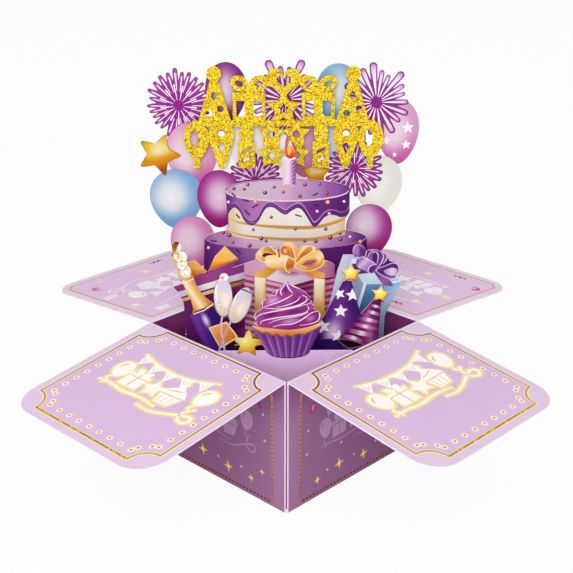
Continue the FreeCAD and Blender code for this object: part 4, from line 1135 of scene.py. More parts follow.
def drawCupcakeSheet():
    page = Print()
    # Painted light: the band is lilac card, inked paler than that against the shade of the walls and flaps, and
    # paler still toward its foot in the corner's shade
    bandTone = (244, 204, 246)
    page.add([(-36, -12), (36, -12), (36, 4), (-36, 4)], across(0, -2, 0, -12, bandTone, (255, 226, 255)),
             fine=4.0)
    # Pleated wrapper, wider at its top
    left, right = ((-16.6, 11.0), (-5.0, -12.0)), ((18.6, 11.0), (8.4, -12.0))
    page.add([left[0], left[1], right[1], right[0]], (104, 52, 158))
    pleats = 21
    for n in range(pleats):
        t0, t1 = n / pleats, (n + 1) / pleats
        shade = mixed((150, 82, 168), (116, 52, 142), 0.5 + 0.5 * math.sin(3.0 * t0 - 0.9))
        tone = (mixed(shade, (208, 166, 214), 0.4), shade, mixed(shade, (88, 30, 120), 0.5))[n % 3]
        page.add([mixed(left[0], right[0], t0), mixed(left[0], right[0], t1), mixed(left[1], right[1], t1),
                  mixed(left[1], right[1], t0)],
                 across(0, 6, 0, -6, mixed(tone, (96, 38, 124), 0.35), (0.4, tone),
                        mixed(tone, (200, 160, 214), 0.15)), fine=2.0)
    base = curved([(-9.0, -3.6), (-6.5, -5.2), (-2.5, -6.1), (1.2, -6.3), (5.5, -6.1), (9.6, -5.2),
                   (11.8, -3.7)], False, 4)
    page.add([(-20.0, -3.4)] + base + [(20.0, -3.4), (20.0, -12.6), (-20.0, -12.6)], bandTone)
    page.add(stroke(base, 0.5, 0.5), (66, 24, 120))
    # Cake rim that peeps out below the frosting
    rim = curved([(-16.6, 12.6), (-15.1, 10.2), (-13.3, 9.2), (-11.4, 8.0), (-9.3, 8.3), (-6.4, 6.7),
                  (-4.3, 7.5), (-1.6, 5.9), (1.0, 7.0),
                  (3.1, 6.1), (6.3, 7.3), (9.5, 7.1), (12.6, 8.7), (15.8, 10.4), (18.6, 12.4), (18.0, 14.0),
                  (10.0, 16.0), (-8.0, 16.0)], True, 4)
    page.add([(x, y - 0.7) for x, y in rim], (170, 86, 60))
    page.add(rim, across(0, 13, 0, 6.4, (250, 200, 136), (0.5, (242, 172, 102)), (216, 124, 54)), fine=1.2)
    # Frosting: heavy turns that run up to the tip, each with a white edge
    page.add(curved([(-18.0, 13.0), (-20.0, 24.0), (-10.0, 38.0), (12.0, 38.0), (20.0, 24.0), (19.0, 14.2),
                     (16.3, 12.6), (11.6, 10.8),
                     (6.3, 9.7), (1.0, 9.2), (-6.0, 10.0), (-11.7, 10.7), (-15.4, 11.6)], True, 4),
             glowing(across(-14, 24, 16, 12, (162, 66, 142), (0.35, (154, 52, 134)), (0.7, (140, 42, 124)),
                            (128, 30, 110)),
                     (-6.2, 25.2, 5.4, 2.6, 22, (212, 156, 204)), (1.6, 24.8, 3.0, 2.2, 25, (160, 72, 156)),
                     (5.8, 24.4, 4.4, 1.9, 28, (102, 14, 98)),
                     (0.2, 31.2, 1.6, 3.2, 0, (108, 20, 108)), (7.6, 30.2, 3.4, 1.4, -24, (164, 76, 160)),
                     (-7.2, 17.4, 6.4, 1.6, 16, (108, 16, 102)),
                     (4.0, 19.0, 6.0, 1.5, 14, (112, 18, 106)), (2.4, 14.0, 7.0, 1.9, 14, (204, 142, 198)),
                     (12.6, 15.4, 3.8, 2.2, 26, (186, 116, 182)),
                     (12.6, 21.2, 2.2, 2.0, 0, (164, 82, 162)), (-12.6, 20.0, 2.4, 2.0, 30, (160, 74, 152))),
             fine=0.95)
    for wide, line in (
            (0.6, [(1.0, 35.6), (-2.1, 33.1), (-4.2, 30.0), (-4.7, 27.7)]),
                       (0.55, [(-4.7, 27.7), (-7.4, 27.7), (-10.0, 26.3), (-11.3, 24.1), (-11.2, 21.8)]),
            (0.6, [(0.9, 35.0), (-1.9, 31.4), (-2.3, 29.4), (-1.5, 28.0)]),
                       (0.6, [(0.7, 34.7), (1.6, 31.9), (3.8, 29.2)]),
            (0.6, [(3.8, 28.4), (0.5, 26.3), (-4.2, 24.0), (-10.4, 22.0)]),
                       (0.55, [(1.4, 34.4), (4.4, 32.6), (8.3, 31.0), (11.4, 28.5), (13.0, 25.1),
                               (12.2, 23.4)]),
            (0.6, [(8.3, 27.9), (10.3, 27.2), (10.7, 25.4), (8.8, 23.7), (4.7, 22.0), (-1.6, 20.7),
                   (-6.9, 20.9), (-11.3, 21.4)]),
            (0.5, [(7.5, 27.4), (5.7, 25.0), (1.0, 22.7), (-4.3, 21.6)]),
                       (0.55, [(-11.2, 21.6), (-14.2, 19.5), (-15.2, 17.3), (-14.8, 14.9)]),
            (0.55, [(-14.8, 14.9), (-13.8, 16.7), (-10.6, 18.3), (-4.3, 19.6), (2.6, 21.0), (9.4, 22.8),
                    (12.4, 23.6)]),
            (0.6, [(10.9, 22.4), (11.6, 20.4), (9.4, 18.3), (3.6, 17.0), (-2.7, 16.1), (-9.5, 14.8),
                   (-12.1, 13.8), (-12.2, 12.5)]),
            (0.6, [(16.7, 19.4), (13.6, 18.7), (10.5, 16.5), (7.3, 14.2), (3.1, 12.4), (-2.7, 11.9),
                   (-6.1, 10.8)]),
            (0.55, [(13.0, 23.4), (15.8, 20.8), (17.2, 17.6), (16.3, 14.2), (12.1, 12.4), (7.3, 11.7)]),
            (0.45, [(-8.2, 12.7), (-4.3, 14.6), (2.6, 16.0), (7.8, 17.1), (11.5, 18.8)]),
                       (0.45, [(-15.0, 14.8), (-15.0, 13.0), (-13.6, 11.6)])):
        page.add(pen(line, 5, wide, 0.45), (246, 232, 246))
    drawSmallStar(page, -18.9, 1.9, 7.6, -6.0)
    return page


# The cupcake sheet's ground is the band's lilac, inked pale as painted light
sheets = {"balloon_sheet": (drawBalloonSheet, (246, 242, 246)), "cake_sheet": (drawCakeSheet, (120, 50, 140)),
          "gift_sheet": (drawGiftSheet, (90, 20, 84)), "bottle_hat_sheet": (drawBottleSheet, (120, 50, 120)),
          "cupcake_sheet": (drawCupcakeSheet, (244, 204, 246))}
for node, (draw, ground) in sheets.items():
    inkedCard(node + "_print", sheetOutline(node), draw(), ground, sheetPlace(node), "box", 1.8)


# Flaps: x runs along the hinge, y from the outer edge (0) to the hinge (90)

def flapFrame(node):
    # The crease's middle, the ways out, along and up of the drooping flap, and the level way out
    azimuth, droop = (math.radians(a) for a in card["flaps"][node])
    out = Vector((math.cos(azimuth), math.sin(azimuth), 0))
    along = Vector((-math.sin(azimuth), math.cos(azimuth), 0))
    up = Vector((0, 0, 1))
    hinge = out * (card["side"] / 2) + up * card["rim"]
    c, s = math.cos(droop), math.sin(droop)
    return hinge, out * c - up * s, along, out * s + up * c, out


def flapPlace(node, under=False):
    hinge, out, along, normal = flapFrame(node)[:4]
    side = -1 if under else 1
    return lambda x, y, w: (hinge + out * (card["flapReach"] - y) + along * (x * side)
                            + normal * (side * (card["flapCard"] + w)))


def flapOutline(node, under=False):
    hinge, out, along, normal = flapFrame(node)[:4]
    side = -1 if under else 1
    spot = hinge + normal * (side * card["flapCard"])
    return faceLoops(node, normal * side, spot, lambda p: ((p - hinge).dot(along) * side,
                                                          card["flapReach"] - (p - hinge).dot(out)))


# The back margin is inked paler than the front margin, as painted light for the weaker light on the back flaps
flapInk = {"frontMargin": (227, 203, 229), "backMargin": (238, 212, 236), "under": (184, 136, 180),
           "half": 44.6, "low": 5.2, "high": 88.3, "notch": 10.4, "flakes": 46}
backFrame = {"half": 44.0, "low": 5.4, "high": 84.0, "cut": 5.0}


def notchedFrame(half, low, high, notch, steps=7):
    # A rectangle whose corners are scooped out
    points = []
    for cx, cy, start in ((half, low, 180), (half, high, 270), (-half, high, 0), (-half, low, 90)):
        for n in range(steps + 1):
            a = math.radians(start - 90 * n / steps)
            points.append((cx + notch * math.cos(a), cy + notch * math.sin(a)))
    return points


def closedStroke(points, width):
    outer, inner = widened(points, width / 2), widened(points, -width / 2)
    return outer + outer[:1] + inner + inner[:1]


def scroll(cx, cy, size, turns, start, count=18):
    # A spiral pen line from its heart outward
    points = []
    for n in range(count + 1):
        t = n / count
        a = math.radians(start) + 2 * math.pi * turns * t
        r = size * (0.16 + 0.84 * t)
        points.append((cx + r * math.cos(a), cy + r * math.sin(a)))
    return points


def turned(points, x, y, turn):
    c, s = math.cos(math.radians(turn)), math.sin(math.radians(turn))
    return [(x + u * c - v * s, y + u * s + v * c) for u, v in points]


def garlandShapes():
    # A bunting over balloons, a gift, a star and a cupcake, about 66 by 36: open pen lines with their
    # widths, filled shapes, and fine lines on the shapes
    lines = [(curved([(-28, 15.6), (-14, 11.8), (0, 10.8), (12, 13.0), (25, 18.4)], False, 6), 1.4),
             (curved([(-31, -13.0), (-22, -12.4), (-12, -13.4), (0, -12.2), (12, -13.6)], False, 5), 1.5),
             (curved([(2, -16.6), (10, -17.4), (18, -15.4), (26, -11.6), (32.6, -9.6), (34.6, -12.6),
                      (31.2, -15.0),
                      (27.4, -12.6), (27.4, -8.0), (30.6, -3.6)], False, 5), 1.5)]
    shapes, fine = [], []
    for x, y, turn in ((-22.4, 13.6, -16), (-12.4, 11.2, -9), (-2.0, 10.6, 1), (8.4, 12.0, 9),
                       (18.0, 15.0, 18)):
        shapes.append(turned([(-4.1, 0.0), (4.1, 0.0), (0.0, -8.0)], x, y, turn))
        fine.append((turned([(-1.6, -1.8), (0.0, -4.6), (1.6, -1.8)], x, y, turn), 0.5))
    for x, y, turn in ((-26.6, -0.6, 8), (27.2, 5.4, -8)):
        shapes.append(turned(egg(0, 0, 5.4, 7.0, 6), x, y, turn))
        lines.append((curved([(x, y - 7), (x - 1.5, y - 9.6), (x + 1.0, y - 12), (x - 0.8, y - 14.4)], False,
                             4), 1.1))
        fine.append((curved([(x - 3.2, y + 0.6), (x - 2.6, y + 3.0), (x - 0.8, y + 4.6)], False, 4), 0.8))
    shapes += [[(-20.2, -10.2), (-7.8, -9.8), (-7.8, -1.6), (-20.2, -2.0)],
               [(-21.0, -1.4), (-7.0, -0.9), (-7.0, 1.6), (-21.0, 1.1)],
               starLoop(-0.6, -3.6, 7.0, 0.5, 10), [(7.2, -10.4), (15.8, -10.0), (18.6, -2.6), (5.0, -3.0)],
               curved([(3.9, -2.4), (5.6, 1.2), (8.0, 3.2), (10.2, 6.2), (11.6, 7.2), (13.2, 5.6), (16.4, 3.0),
                       (19.4, -1.4), (12.0, -2.6)], True, 4),
               ring(11.5, 8.3, 1.5, count=12)]
    for m in (-1, 1):
        shapes.append(curved([(-14.0, 1.0), (-14.0 + m * 1.8, 4.8), (-14.0 + m * 5.0, 5.0),
                              (-14.0 + m * 4.2, 2.0)], True, 4))
    fine += [([(-14.0, -9.6), (-14.0, 1.2)], 1.0), ([(-20.6, -1.6), (-7.4, -1.2)], 0.5),
             ([(5.2, -2.9), (12.0, -2.6), (18.6, -2.2)], 0.6),
             (curved([(6.4, 0.4), (11.0, 1.4), (15.0, 3.4)], False, 4), 0.6)]
    fine += [([(9.4 + 2.6 * n - 0.9, -9.6), (8.6 + 3.4 * n - 0.9, -3.6)], 0.5) for n in range(3)]
    return lines, shapes, fine


def drawGarland(page, x, y, size, light, detail, halos=(), thin=1.0):
    # The halos are (extra width, colour), the widest first
    def sized(points):
        return [(x + u * size, y + v * size) for u, v in points]

    lines, shapes, fine = garlandShapes()
    for more, tone in tuple(halos) + ((0.0, light),):
        foil = 0.2 if more else 0.0
        for points, width in lines:
            page.add(stroke(sized(points), width * size * thin + more, 0.8 if more else 0.5), tone, foil=foil)
        for points in shapes:
            page.add(widened(sized(points), more / 2) if more else sized(points), tone, foil=foil)
    for points, width in fine:
        page.add(stroke(sized(points), width * size, 0.7), detail)


def drawFrontFlap():
    page = Print()
    half, low, high, notch = (flapInk[k] for k in ("half", "low", "high", "notch"))
    frame = notchedFrame(half, low, high, notch)
    page.add(widened(frame, 1.15), (250, 240, 216))
    run = across(0, high, 0, low, (150, 98, 60), (0.5, (190, 142, 62)), (206, 162, 58))
    page.add(closedStroke(frame, 1.2), run, foil=0.8)
    page.add(widened(frame, -0.55), (250, 240, 216))
    page.add(widened(frame, -0.95), across(0, low, 0, high, (222, 190, 225), (0.5, (220, 187, 224)),
                                           (222, 191, 226)), fine=9.0)
    # The long outer line is heavier and looks like leaf gold
    page.add([(-half + notch, low - 0.75), (half - notch, low - 0.75), (half - notch, low + 0.75),
              (-half + notch, low + 0.75)],
             (212, 168, 52), foil=0.9)
    pick = random.Random(3)
    for n in range(flapInk["flakes"]):
        x = -half + notch + 0.8 + n * (2 * (half - notch) - 1.6) / (flapInk["flakes"] - 1)
        page.add([(x - 0.5, low - 0.3), (x + 0.4, low - 0.45), (x + 0.5, low + 0.3), (x - 0.3, low + 0.45)],
                 pick.choice([(150, 104, 20), (236, 206, 96), (176, 128, 30)]), foil=0.9)
    drawGarland(page, 1.0, 52.5, 1.0, (255, 253, 246), (222, 176, 112),
                halos=((3.0, (236, 212, 190)), (1.7, (247, 228, 140))))
    return page


dotRow = {"inset": 5.4, "tuck": 0.6, "pearl": 1.65, "heart": 0.7, "rise": 0.035, "uneven": 0.05,
          "facets": 14, "side": 9, "bend": 2}


def dotNodes():
    # Round printed dots along every path of the given mesh: a cream pearl with a brown gold heart
    group = bpy.data.node_groups.new("ringDots", "GeometryNodeTree")
    face = group.interface
    face.new_socket("Geometry", in_out="INPUT", socket_type="NodeSocketGeometry")
    sockets = {}
    for name, kind in (("Pearl Radius", "NodeSocketFloat"), ("Heart Radius", "NodeSocketFloat"),
                       ("Rise", "NodeSocketFloat"),
                       ("Unevenness", "NodeSocketFloat"), ("Facets", "NodeSocketInt"),
                       ("Seed", "NodeSocketInt"),
                       ("Pearl Material", "NodeSocketMaterial"), ("Heart Material", "NodeSocketMaterial")):
        sockets[name] = face.new_socket(name, in_out="INPUT", socket_type=kind).identifier
    face.new_socket("Geometry", in_out="OUTPUT", socket_type="NodeSocketGeometry")
    add, link = group.nodes.new, group.links.new
    given, result = add("NodeGroupInput"), add("NodeGroupOutput")
    path, spots = add("GeometryNodeMeshToCurve"), add("GeometryNodeResampleCurve")
    count = add("GeometryNodeInputNamedAttribute")
    count.data_type = "INT"
    count.inputs["Name"].default_value = "dots"
    spots.mode = "COUNT"
    both, strewn = add("GeometryNodeJoinGeometry"), add("GeometryNodeInstanceOnPoints")
    solid = add("GeometryNodeRealizeInstances")
    for radius, material, high in (("Pearl Radius", "Pearl Material", 1.0),
                                   ("Heart Radius", "Heart Material", 1.8)):
        disc, tint = add("GeometryNodeMeshCylinder"), add("GeometryNodeSetMaterial")
        thick = mathNode(add, "MULTIPLY", None, high)
        link(given.outputs["Rise"], thick.inputs[0])
        link(thick.outputs[0], disc.inputs["Depth"])
        link(given.outputs[radius], disc.inputs["Radius"])
        link(given.outputs["Facets"], disc.inputs["Vertices"])
        link(disc.outputs["Mesh"], tint.inputs["Geometry"])
        link(given.outputs[material], tint.inputs["Material"])
        link(tint.outputs["Geometry"], both.inputs[0])
    vary = add("FunctionNodeRandomValue")
    low, high = mathNode(add, "SUBTRACT", 1.0), mathNode(add, "ADD", 1.0)
    link(given.outputs["Unevenness"], low.inputs[1])
    link(given.outputs["Unevenness"], high.inputs[1])
    link(low.outputs[0], vary.inputs[2])
    link(high.outputs[0], vary.inputs[3])
    link(given.outputs["Seed"], vary.inputs["Seed"])
    link(given.outputs["Geometry"], path.inputs["Mesh"])
    link(path.outputs["Curve"], spots.inputs["Curve"])
    link(count.outputs["Attribute"], spots.inputs["Count"])
    link(spots.outputs["Curve"], strewn.inputs["Points"])
    link(both.outputs["Geometry"], strewn.inputs["Instance"])
    link(vary.outputs[1], strewn.inputs["Scale"])
    link(strewn.outputs["Instances"], solid.inputs["Geometry"])
    link(solid.outputs["Geometry"], result.inputs["Geometry"])
    return group, sockets


dotGroup, dotSockets = dotNodes()
pearlInk = plainCard("pearlInk", (252, 240, 206), strength=0.03, gloss=0.4, relief=0.1)
heartInk = plainCard("heartInk", (196, 140, 84), strength=0.06, gloss=0.4, relief=0.1)


def borderDots(node, seed):
    # Paths on the flat page: four straight rows, and a short bend round each scooped corner
    half, low, high, notch = (flapInk[k] for k in ("half", "low", "high", "notch"))
    inset, rows = dotRow["inset"], []
    x, bottom, top = half - inset, low + inset, high - inset
    bend = notch + inset - dotRow["tuck"]
    span = math.sqrt(bend ** 2 - inset ** 2)
    for sign in (-1, 1):
        rows.append(([(sign * x, low + span), (sign * x, high - span)], dotRow["side"]))
    for y in (bottom, top):
        rows.append(([(-half + span, y), (half - span, y)], dotRow["side"]))
    for cx, cy, start in ((half, low, 90), (half, high, 180), (-half, high, 270), (-half, low, 0)):
        arc = [(cx + bend * math.cos(math.radians(a)), cy + bend * math.sin(math.radians(a)))
               for a in range(start + 33, start + 60, 3)]
        rows.append((arc, dotRow["bend"]))
    verts, edges, counts = [], [], []
    for points, number in rows:
        edges += [(len(verts) + n, len(verts) + n + 1) for n in range(len(points) - 1)]
        verts += [(px * mm, py * mm, 0) for px, py in points]
        counts += [number] * len(points)
    mesh = bpy.data.meshes.new(node + "_paths")
    mesh.from_pydata(verts, edges, [])
    mesh.attributes.new("dots", "INT", "POINT").data.foreach_set("value", counts)
    maker = placed(node + "_paths", mesh)
    modifier = maker.modifiers.new("ringDots", "NODES")
    modifier.node_group = dotGroup
    for name, value in (("Pearl Radius", dotRow["pearl"] * mm), ("Heart Radius", dotRow["heart"] * mm),
                        ("Rise", dotRow["rise"] * mm),
                        ("Unevenness", dotRow["uneven"]), ("Facets", dotRow["facets"]), ("Seed", seed),
                        ("Pearl Material", pearlInk), ("Heart Material", heartInk)):
        modifier[dotSockets[name]] = value
    bpy.context.view_layer.update()
    made = bpy.data.meshes.new_from_object(maker.evaluated_get(bpy.context.evaluated_depsgraph_get()))
    maker.modifiers.remove(modifier)
    bpy.data.objects.remove(maker)
    place = flapPlace(node)
    for vertex in made.vertices:
        vertex.co = place(vertex.co.x / mm, vertex.co.y / mm, card["ink"] + vertex.co.z / mm) * mm
    piece = placed(node + "_dots", made)
    made.name = piece.name
    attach(piece, node)
    print(piece.name, len(made.polygons), "faces")


def drawConfetti(page, seed, places):
    # Stars, dots, leaves, curls, dashes and zigzags at the given places, turned by a fixed seed
    pick = random.Random(seed)
    for x, y, kind in places:
        turn = pick.uniform(0, 180)
        if kind == "star":
            page.add(starLoop(x, y, 4.4, 0.36, turn / 6, tips=4), (250, 230, 150), foil=0.2)
            page.add(ring(x, y, 1.6, count=10), (255, 248, 206))
        elif kind == "dot":
            page.add(ring(x, y, 1.4, count=10), (250, 220, 156), foil=0.2)
        elif kind == "leaf":
            for m in (-1, 1):
                page.add(ring(x + m * 3.2, y, 3.8, 1.9, m * 35 + turn / 9), (250, 226, 166), foil=0.2)
        elif kind == "curl":
            page.add(stroke(scroll(x, y, 3.6, 0.9, turn), 2.2, 0.3), (208, 46, 112))
            page.add(stroke(scroll(x + 0.4, y, 2.0, 0.7, turn + 90), 1.1, 0.3), (240, 150, 190))
        elif kind == "dashes":
            for n in range(4):
                page.add([(x + n * 2.2 - 4, y - 2.6), (x + n * 2.2 - 2.6, y - 2.6),
                          (x + n * 2.2 - 2.1, y + 2.6), (x + n * 2.2 - 3.5, y + 2.6)], (252, 248, 252))
        else:
            page.add(pen([(x - 4.4, y + 1.0), (x - 2.6, y - 1.3), (x - 1.0, y + 0.9), (x + 0.8, y - 1.2),
                          (x + 2.5, y + 0.9), (x + 4.4, y - 0.9)], 4, 1.3, 0.6), (134, 36, 120))


def ropeFrame(page, points, step=1.7):
    # A line of short slanted gold dashes on a pale line
    page.add(closedStroke(points, 1.3), (240, 208, 164), foil=0.2)
    count = len(points)
    for n in range(count):
        (x0, y0), (x1, y1) = points[n], points[(n + 1) % count]
        long = math.hypot(x1 - x0, y1 - y0)
        total = max(int(long / step), 1)
        dx, dy = (x1 - x0) / long, (y1 - y0) / long
        for k in range(total):
            t = (k + 0.5) / total
            x, y = x0 + (x1 - x0) * t, y0 + (y1 - y0) * t
            page.add([(x - dx * 0.7 - dy * 0.6, y - dy * 0.7 + dx * 0.6),
                      (x + dx * 0.3 - dy * 0.6, y + dy * 0.3 + dx * 0.6),
                      (x + dx * 0.7 + dy * 0.6, y + dy * 0.7 - dx * 0.6),
                      (x - dx * 0.3 + dy * 0.6, y - dy * 0.3 - dx * 0.6)],
                     (174, 118, 66), foil=0.4)


def cutCorner(half, low, high, cut):
    return [(-half + cut, low), (half - cut, low), (half, low + cut), (half, high), (-half, high),
            (-half, low + cut)]


def drawBackFlap(seed):
    page = Print()
    frame = cutCorner(**backFrame)
    page.add(widened(frame, 0.6), (238, 212, 234))
    # Painted light: the back flaps' lilac is inked paler than the front flaps', making up for the weaker light
    # that reaches them
    page.add(widened(frame, -0.6), across(-40, 10, 40, 80, (233, 201, 232), (0.5, (231, 197, 230)),
                                          (233, 201, 232)), fine=9.0)
    ropeFrame(page, frame)
    drawConfetti(page, seed, [(-30, 66, "star"), (-4, 20.6, "star"), (15, 19.4, "dot"), (-33, 47, "leaf"),
                              (33, 22, "curl"), (-38, 22, "curl"),
                              (-24, 76.6, "zig"), (30, 77, "dashes"), (37, 40, "dashes"), (8, 76, "dot"),
                              (-15, 74, "leaf"), (24, 12.4, "dot"),
                              (-20, 11, "zig"), (0, 11.4, "dot"), (37, 62, "star")])
    drawGarland(page, 0.0, 44.0, 0.94, (253, 248, 253), (216, 184, 218), thin=0.7)
    page.add(pen([(-35, 66.6), (-14, 70.4), (10, 68.8), (32, 72.4)], 6, 1.1, 0.4), (253, 248, 253))
    return page


def drawUnder():
    page = Print()
    frame = cutCorner(**backFrame)
    page.add(widened(frame, 0.4), (205, 158, 203))
    page.add(closedStroke(frame, 0.8), (214, 160, 92), foil=0.6)
    page.add(widened(frame, -0.4), flapInk["under"], fine=12.0)
    for x, y, r in ((-30, 24, 4.0), (28, 30, 3.4), (0, 60, 4.4), (-22, 70, 2.8), (26, 72, 3.2), (4, 18, 2.6)):
        page.add(starLoop(x, y, r, 0.34, 0, tips=4), (236, 190, 110), foil=0.6)
    for x, y in ((-12, 40), (14, 46), (-36, 50), (36, 54), (-6, 30), (20, 14), (-34, 12)):
        page.add(ring(x, y, 0.9, count=10), (232, 196, 190))
    return page


for seed, node in enumerate(card["flaps"]):
    page = drawFrontFlap() if "front" in node else drawBackFlap(seed)
    margin = flapInk["frontMargin"] if "front" in node else flapInk["backMargin"]
    inkedCard(node + "_print", flapOutline(node), page, margin, flapPlace(node), node)
    inkedCard(node + "_under", flapOutline(node, True), drawUnder(), flapInk["under"],
              flapPlace(node, True), node)
    if "front" in node:
        borderDots(node, seed)


# Box walls: one print wrapped round the four walls. x is the way along the outside, from the front
# corner round to it again, and y the height.

wallInk = {"fold": 1.0, "low": 0.15, "high": 72.9, "ground": (160, 114, 148), "corner": (196, 152, 190),
           "seam": (226, 196, 222), "frame": 40.2, "lowDashes": 30, "sideDashes": 22}
straight = card["side"] - 2 * wallInk["fold"]
bend = wallInk["fold"] * math.pi / 2
lap = straight + bend


def wallPlace(x, y, w):
    wall = min(int(x // lap), 3)
    rest = x - wall * lap
    half = card["side"] / 2
    if rest <= straight or wall == 3:
        spot = (rest - straight / 2, -half - w)
    else:
        turn = (rest - straight) / wallInk["fold"]
        reach = wallInk["fold"] + w
        spot = (straight / 2 + reach * math.sin(turn), -straight / 2 - reach * math.cos(turn))
    angle = math.radians(45 + 90 * wall)
    c, s = math.cos(angle), math.sin(angle)
    return (spot[0] * c - spot[1] * s, spot[0] * s + spot[1] * c, y)


def drawWalls():
    page = Print()
    total = 4 * straight + 3 * bend
    edge = wallInk["frame"]
    for wall in range(4):
        middle = straight / 2 + wall * lap
        toward = 1 if wall % 2 == 0 else -1

        def tone(px, py, middle=middle, toward=toward):
            # Painted shade: paler toward the front and back corners and darker away from them, darker still
            # toward the top edge under the flaps, and a little paler toward the foot
            side = blended([(0.0, (164, 120, 156)), (0.085, (160, 115, 151)), (0.1, (149, 102, 142)),
                            (0.3, (146, 99, 140)),
                            (0.6, (140, 91, 132)), (1.0, (121, 67, 112))],
                           0.5 + toward * (px - middle) / straight)
            side = mixed(side, (126, 70, 118), 0.7 * smooth(44, 73, py))
            return mixed(side, (158, 108, 150), 0.3 * smooth(24, 0, py))

        for left, right in ((-straight / 2, -edge), (-edge, edge), (edge, straight / 2)):
            page.add([(middle + left, -1), (middle + right, -1), (middle + right, 75), (middle + left, 75)],
                     tone, fine=5.0)
        frame = [(middle + x, y) for x, y in ((edge, 2.4), (edge, 62.4), (34.6, 65.4), (-34.6, 65.4),
                                              (-edge, 62.4), (-edge, 2.4))]
        page.add(closedStroke(frame, 1.0), across(0, 2.6, 0, 30, (176, 106, 82), (206, 144, 84)), foil=0.4)
        for n in range(wallInk["lowDashes"]):
            x = middle - 39 + 78 * (n + 0.5) / wallInk["lowDashes"]
            page.add([(x - 0.85, 1.8), (x + 0.85, 1.8), (x + 0.85, 3.0), (x - 0.85, 3.0)], (104, 42, 58))
        for n in range(wallInk["sideDashes"]):
            y = 5 + 54 * (n + 0.5) / wallInk["sideDashes"]
            for x in (middle - edge, middle + edge):
                page.add([(x - 0.45, y - 0.5), (x + 0.45, y - 0.5), (x + 0.45, y + 0.5), (x - 0.45, y + 0.5)],
                         (136, 72, 58), foil=0.2)
        for x, y, r in ((-27.5, 9.8, 3.0), (8.2, 10.2, 3.6), (25.0, 10.3, 2.6), (-11.0, 12.5, 3.8),
                        (33.0, 17.0, 2.2)):
            page.add(starLoop(middle + x, y, r, 0.34, 8, tips=4), (238, 186, 92), foil=0.6)
            page.add(ring(middle + x, y, r * 0.22, count=8), (255, 232, 170), foil=0.4)
        for x, y in ((-9.6, 24.4), (0.7, 13.0), (35.0, 35.7), (-35.5, 28.0), (-34.6, 41.0), (18.0, 14.0),
                     (-20.0, 12.6), (34.0, 50.0)):
            page.add(ring(middle + x, y, 0.75, count=8), (232, 186, 170))
        page.add(ring(middle - 31.5, 52.6, 2.2, 3.0, -18, count=16), (196, 34, 122))
        page.add(ring(middle - 31.3, 52.8, 1.0, 1.8, -18, count=12), (222, 120, 170))
        page.add(ring(middle + 31.5, 54.6, 1.6, 2.4, 24, count=14), (150, 60, 150))
        drawGarland(page, middle, 38.0, 0.82, (186, 144, 180), (150, 102, 144), thin=0.6)
    for fold in range(3):
        start = straight + fold * lap
        for n in range(4):
            a, b = start + bend * n / 4, start + bend * (n + 1) / 4
            page.add([(a, -1), (b, -1), (b, 75), (a, 75)], wallInk["corner"])
    for a, b in ((-1, 0.5), (total - 0.5, total + 1)):
        page.add([(a, -1), (b, -1), (b, 75), (a, 75)], wallInk["seam"])
    low, high, left, right = wallInk["low"], wallInk["high"], 0.05, total - 0.05
    return page, [np.array([(left, low), (right, low), (right, high), (left, high)])]


wallPage, wallOutline = drawWalls()
inkedCard("box_print", wallOutline, wallPage, wallInk["ground"], wallPlace, "box")


# Crease strips, where each wall's lining turns over into its flap. Their section runs over the wall's
# top edge and then over the flap.

crease = {"overWall": [(-0.62, 0.0), (-0.3, 0.02), (0.0, 0.06)], "overFlap": [(0.5, 0.32), (1.0, 0.36)],
          "thick": 0.07, "steps": 24, "short": 0.2, "colour": (240, 226, 240)}


def creaseStrip(node):
    hinge, out, along, normal, level = flapFrame(node)
    up = Vector((0, 0, 1))
    path = [hinge + level * x + up * z for x, z in crease["overWall"]]
    path += [hinge + out * x + normal * z for x, z in crease["overFlap"]]
    top = [p + (up if n < len(crease["overWall"]) else normal) * crease["thick"] for n, p in enumerate(path)]
    section = top + path[::-1]
    steps, reach = crease["steps"], card["flapHalf"] - crease["short"]
    verts, faces = [], []
    count = len(section)
    for k in range(steps + 1):
        shift = along * (-reach + 2 * reach * k / steps)
        verts += [(p + shift) * mm for p in section]
    for k in range(steps):
        for n in range(count):
            a, b = k * count + n, k * count + (n + 1) % count
            faces.append([a, b, b + count, a + count])
    faces += [list(range(count))[::-1], [steps * count + n for n in range(count)]]
    mesh = bpy.data.meshes.new(node + "_crease")
    mesh.from_pydata(verts, [], faces)
    mesh.materials.append(creaseCard)
    piece = placed(node + "_crease", mesh)
    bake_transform(piece)


creaseCard = plainCard("creaseCard", crease["colour"])
for node in card["flaps"]:
    creaseStrip(node)
print("flaps, walls and creases ready")


# Floor, lights and camera

studio = {"floor": (250, 250, 251), "floorHalf": 3.0, "floorDrop": 0.0002, "fill": 0.48, "white": 0.94,
          "target": (0, 0, 0.1), "lights": {"keyLight": ((-0.25, -1.2, 0.85), 1.0, 13.0),
                                            "topLight": ((0.3, -0.4, 1.45), 0.9, 3.2)}}


def areaLight(name, place, width, power):
    light = bpy.data.lights.new(name, "AREA")
    light.shape, light.size, light.size_y = "RECTANGLE", width, width
    light.energy = power
    lamp = placed(name, light)
    lamp.location = place
    lamp.rotation_euler = (Vector(studio["target"]) - Vector(place)).to_track_quat("-Z", "Y").to_euler()


def seenRay(tree):
    # 1 for camera, glossy and transmission rays
    path = tree.nodes.new("ShaderNodeLightPath")
    pair, three = (mathNode(tree.nodes.new, "MAXIMUM") for n in range(2))
    tree.links.new(path.outputs["Is Camera Ray"], pair.inputs[0])
    tree.links.new(path.outputs["Is Glossy Ray"], pair.inputs[1])
    tree.links.new(pair.outputs[0], three.inputs[0])
    tree.links.new(path.outputs["Is Transmission Ray"], three.inputs[1])
    return three.outputs[0]


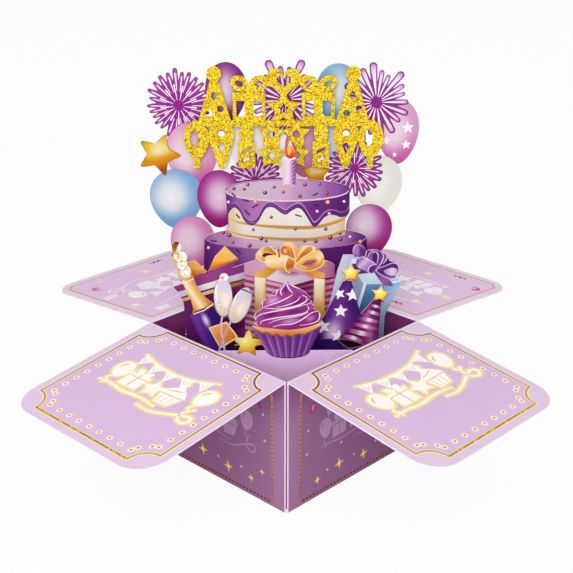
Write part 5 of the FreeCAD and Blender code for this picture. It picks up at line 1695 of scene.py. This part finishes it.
def floorMaterial():
    # Seen directly the floor is mostly plain white, with a faint shadow left
    material, tree, shader = newMaterial("studioFloor")
    shader.inputs["Base Color"].default_value = linearInk(studio["floor"]) + [1]
    shader.inputs["Roughness"].default_value = 0.9
    shader.inputs["Specular IOR Level"].default_value = 0.0
    glow, both = tree.nodes.new("ShaderNodeEmission"), tree.nodes.new("ShaderNodeMixShader")
    share = mathNode(tree.nodes.new, "MULTIPLY", None, studio["white"])
    glow.inputs["Color"].default_value, glow.inputs["Strength"].default_value = (1, 1, 1, 1), 1.0
    tree.links.new(seenRay(tree), share.inputs[0])
    tree.links.new(share.outputs[0], both.inputs["Fac"])
    tree.links.new(shader.outputs["BSDF"], both.inputs[1])
    tree.links.new(glow.outputs["Emission"], both.inputs[2])
    tree.links.new(both.outputs["Shader"], tree.nodes["Material Output"].inputs["Surface"])
    return material


def makeStudio():
    mesh = bpy.data.meshes.new("floor")
    half = studio["floorHalf"]
    mesh.from_pydata([(-half, -half, 0), (half, -half, 0), (half, half, 0), (-half, half, 0)], [],
                     [(0, 1, 2, 3)])
    floor = placed("floor", mesh)
    floor.location.z = -studio["floorDrop"]
    mesh.materials.append(floorMaterial())
    world = bpy.data.worlds.new("studioWorld")
    bpy.context.scene.world = world
    world.use_nodes = True
    tree = world.node_tree
    background = tree.nodes["Background"]
    background.inputs["Color"].default_value = (1, 1, 1, 1)
    level = tree.nodes.new("ShaderNodeMapRange")
    level.inputs["To Min"].default_value, level.inputs["To Max"].default_value = studio["fill"], 1.0
    tree.links.new(seenRay(tree), level.inputs["Value"])
    tree.links.new(level.outputs["Result"], background.inputs["Strength"])
    for name, (place, width, power) in studio["lights"].items():
        areaLight(name, place, width, power)


view = {"focal": 1153.38, "frame": 573.0, "sensor": 36.0, "place": (-8.39, -556.22, 320.68),
        "elevation": 24.0, "yaw": -0.864, "shiftX": 0.0038, "shiftY": 0.0622}


def makeCamera():
    e, a = math.radians(view["elevation"]), math.radians(view["yaw"])
    back = Vector((math.sin(a) * math.cos(e), -math.cos(a) * math.cos(e), math.sin(e)))
    data = bpy.data.cameras.new("camera")
    data.sensor_width = view["sensor"]
    data.lens = view["focal"] / view["frame"] * view["sensor"]
    data.shift_x, data.shift_y = view["shiftX"], view["shiftY"]
    camera = placed("camera", data)
    camera.location = Vector(view["place"]) * mm
    camera.rotation_mode = "QUATERNION"
    camera.rotation_quaternion = (-back).to_track_quat("-Z", "Y")
    data.clip_start, data.clip_end = 0.01, 50
    bpy.context.scene.camera = camera


makeStudio()
makeCamera()
bpy.context.scene.view_settings.view_transform = "Standard"
print("studio ready")
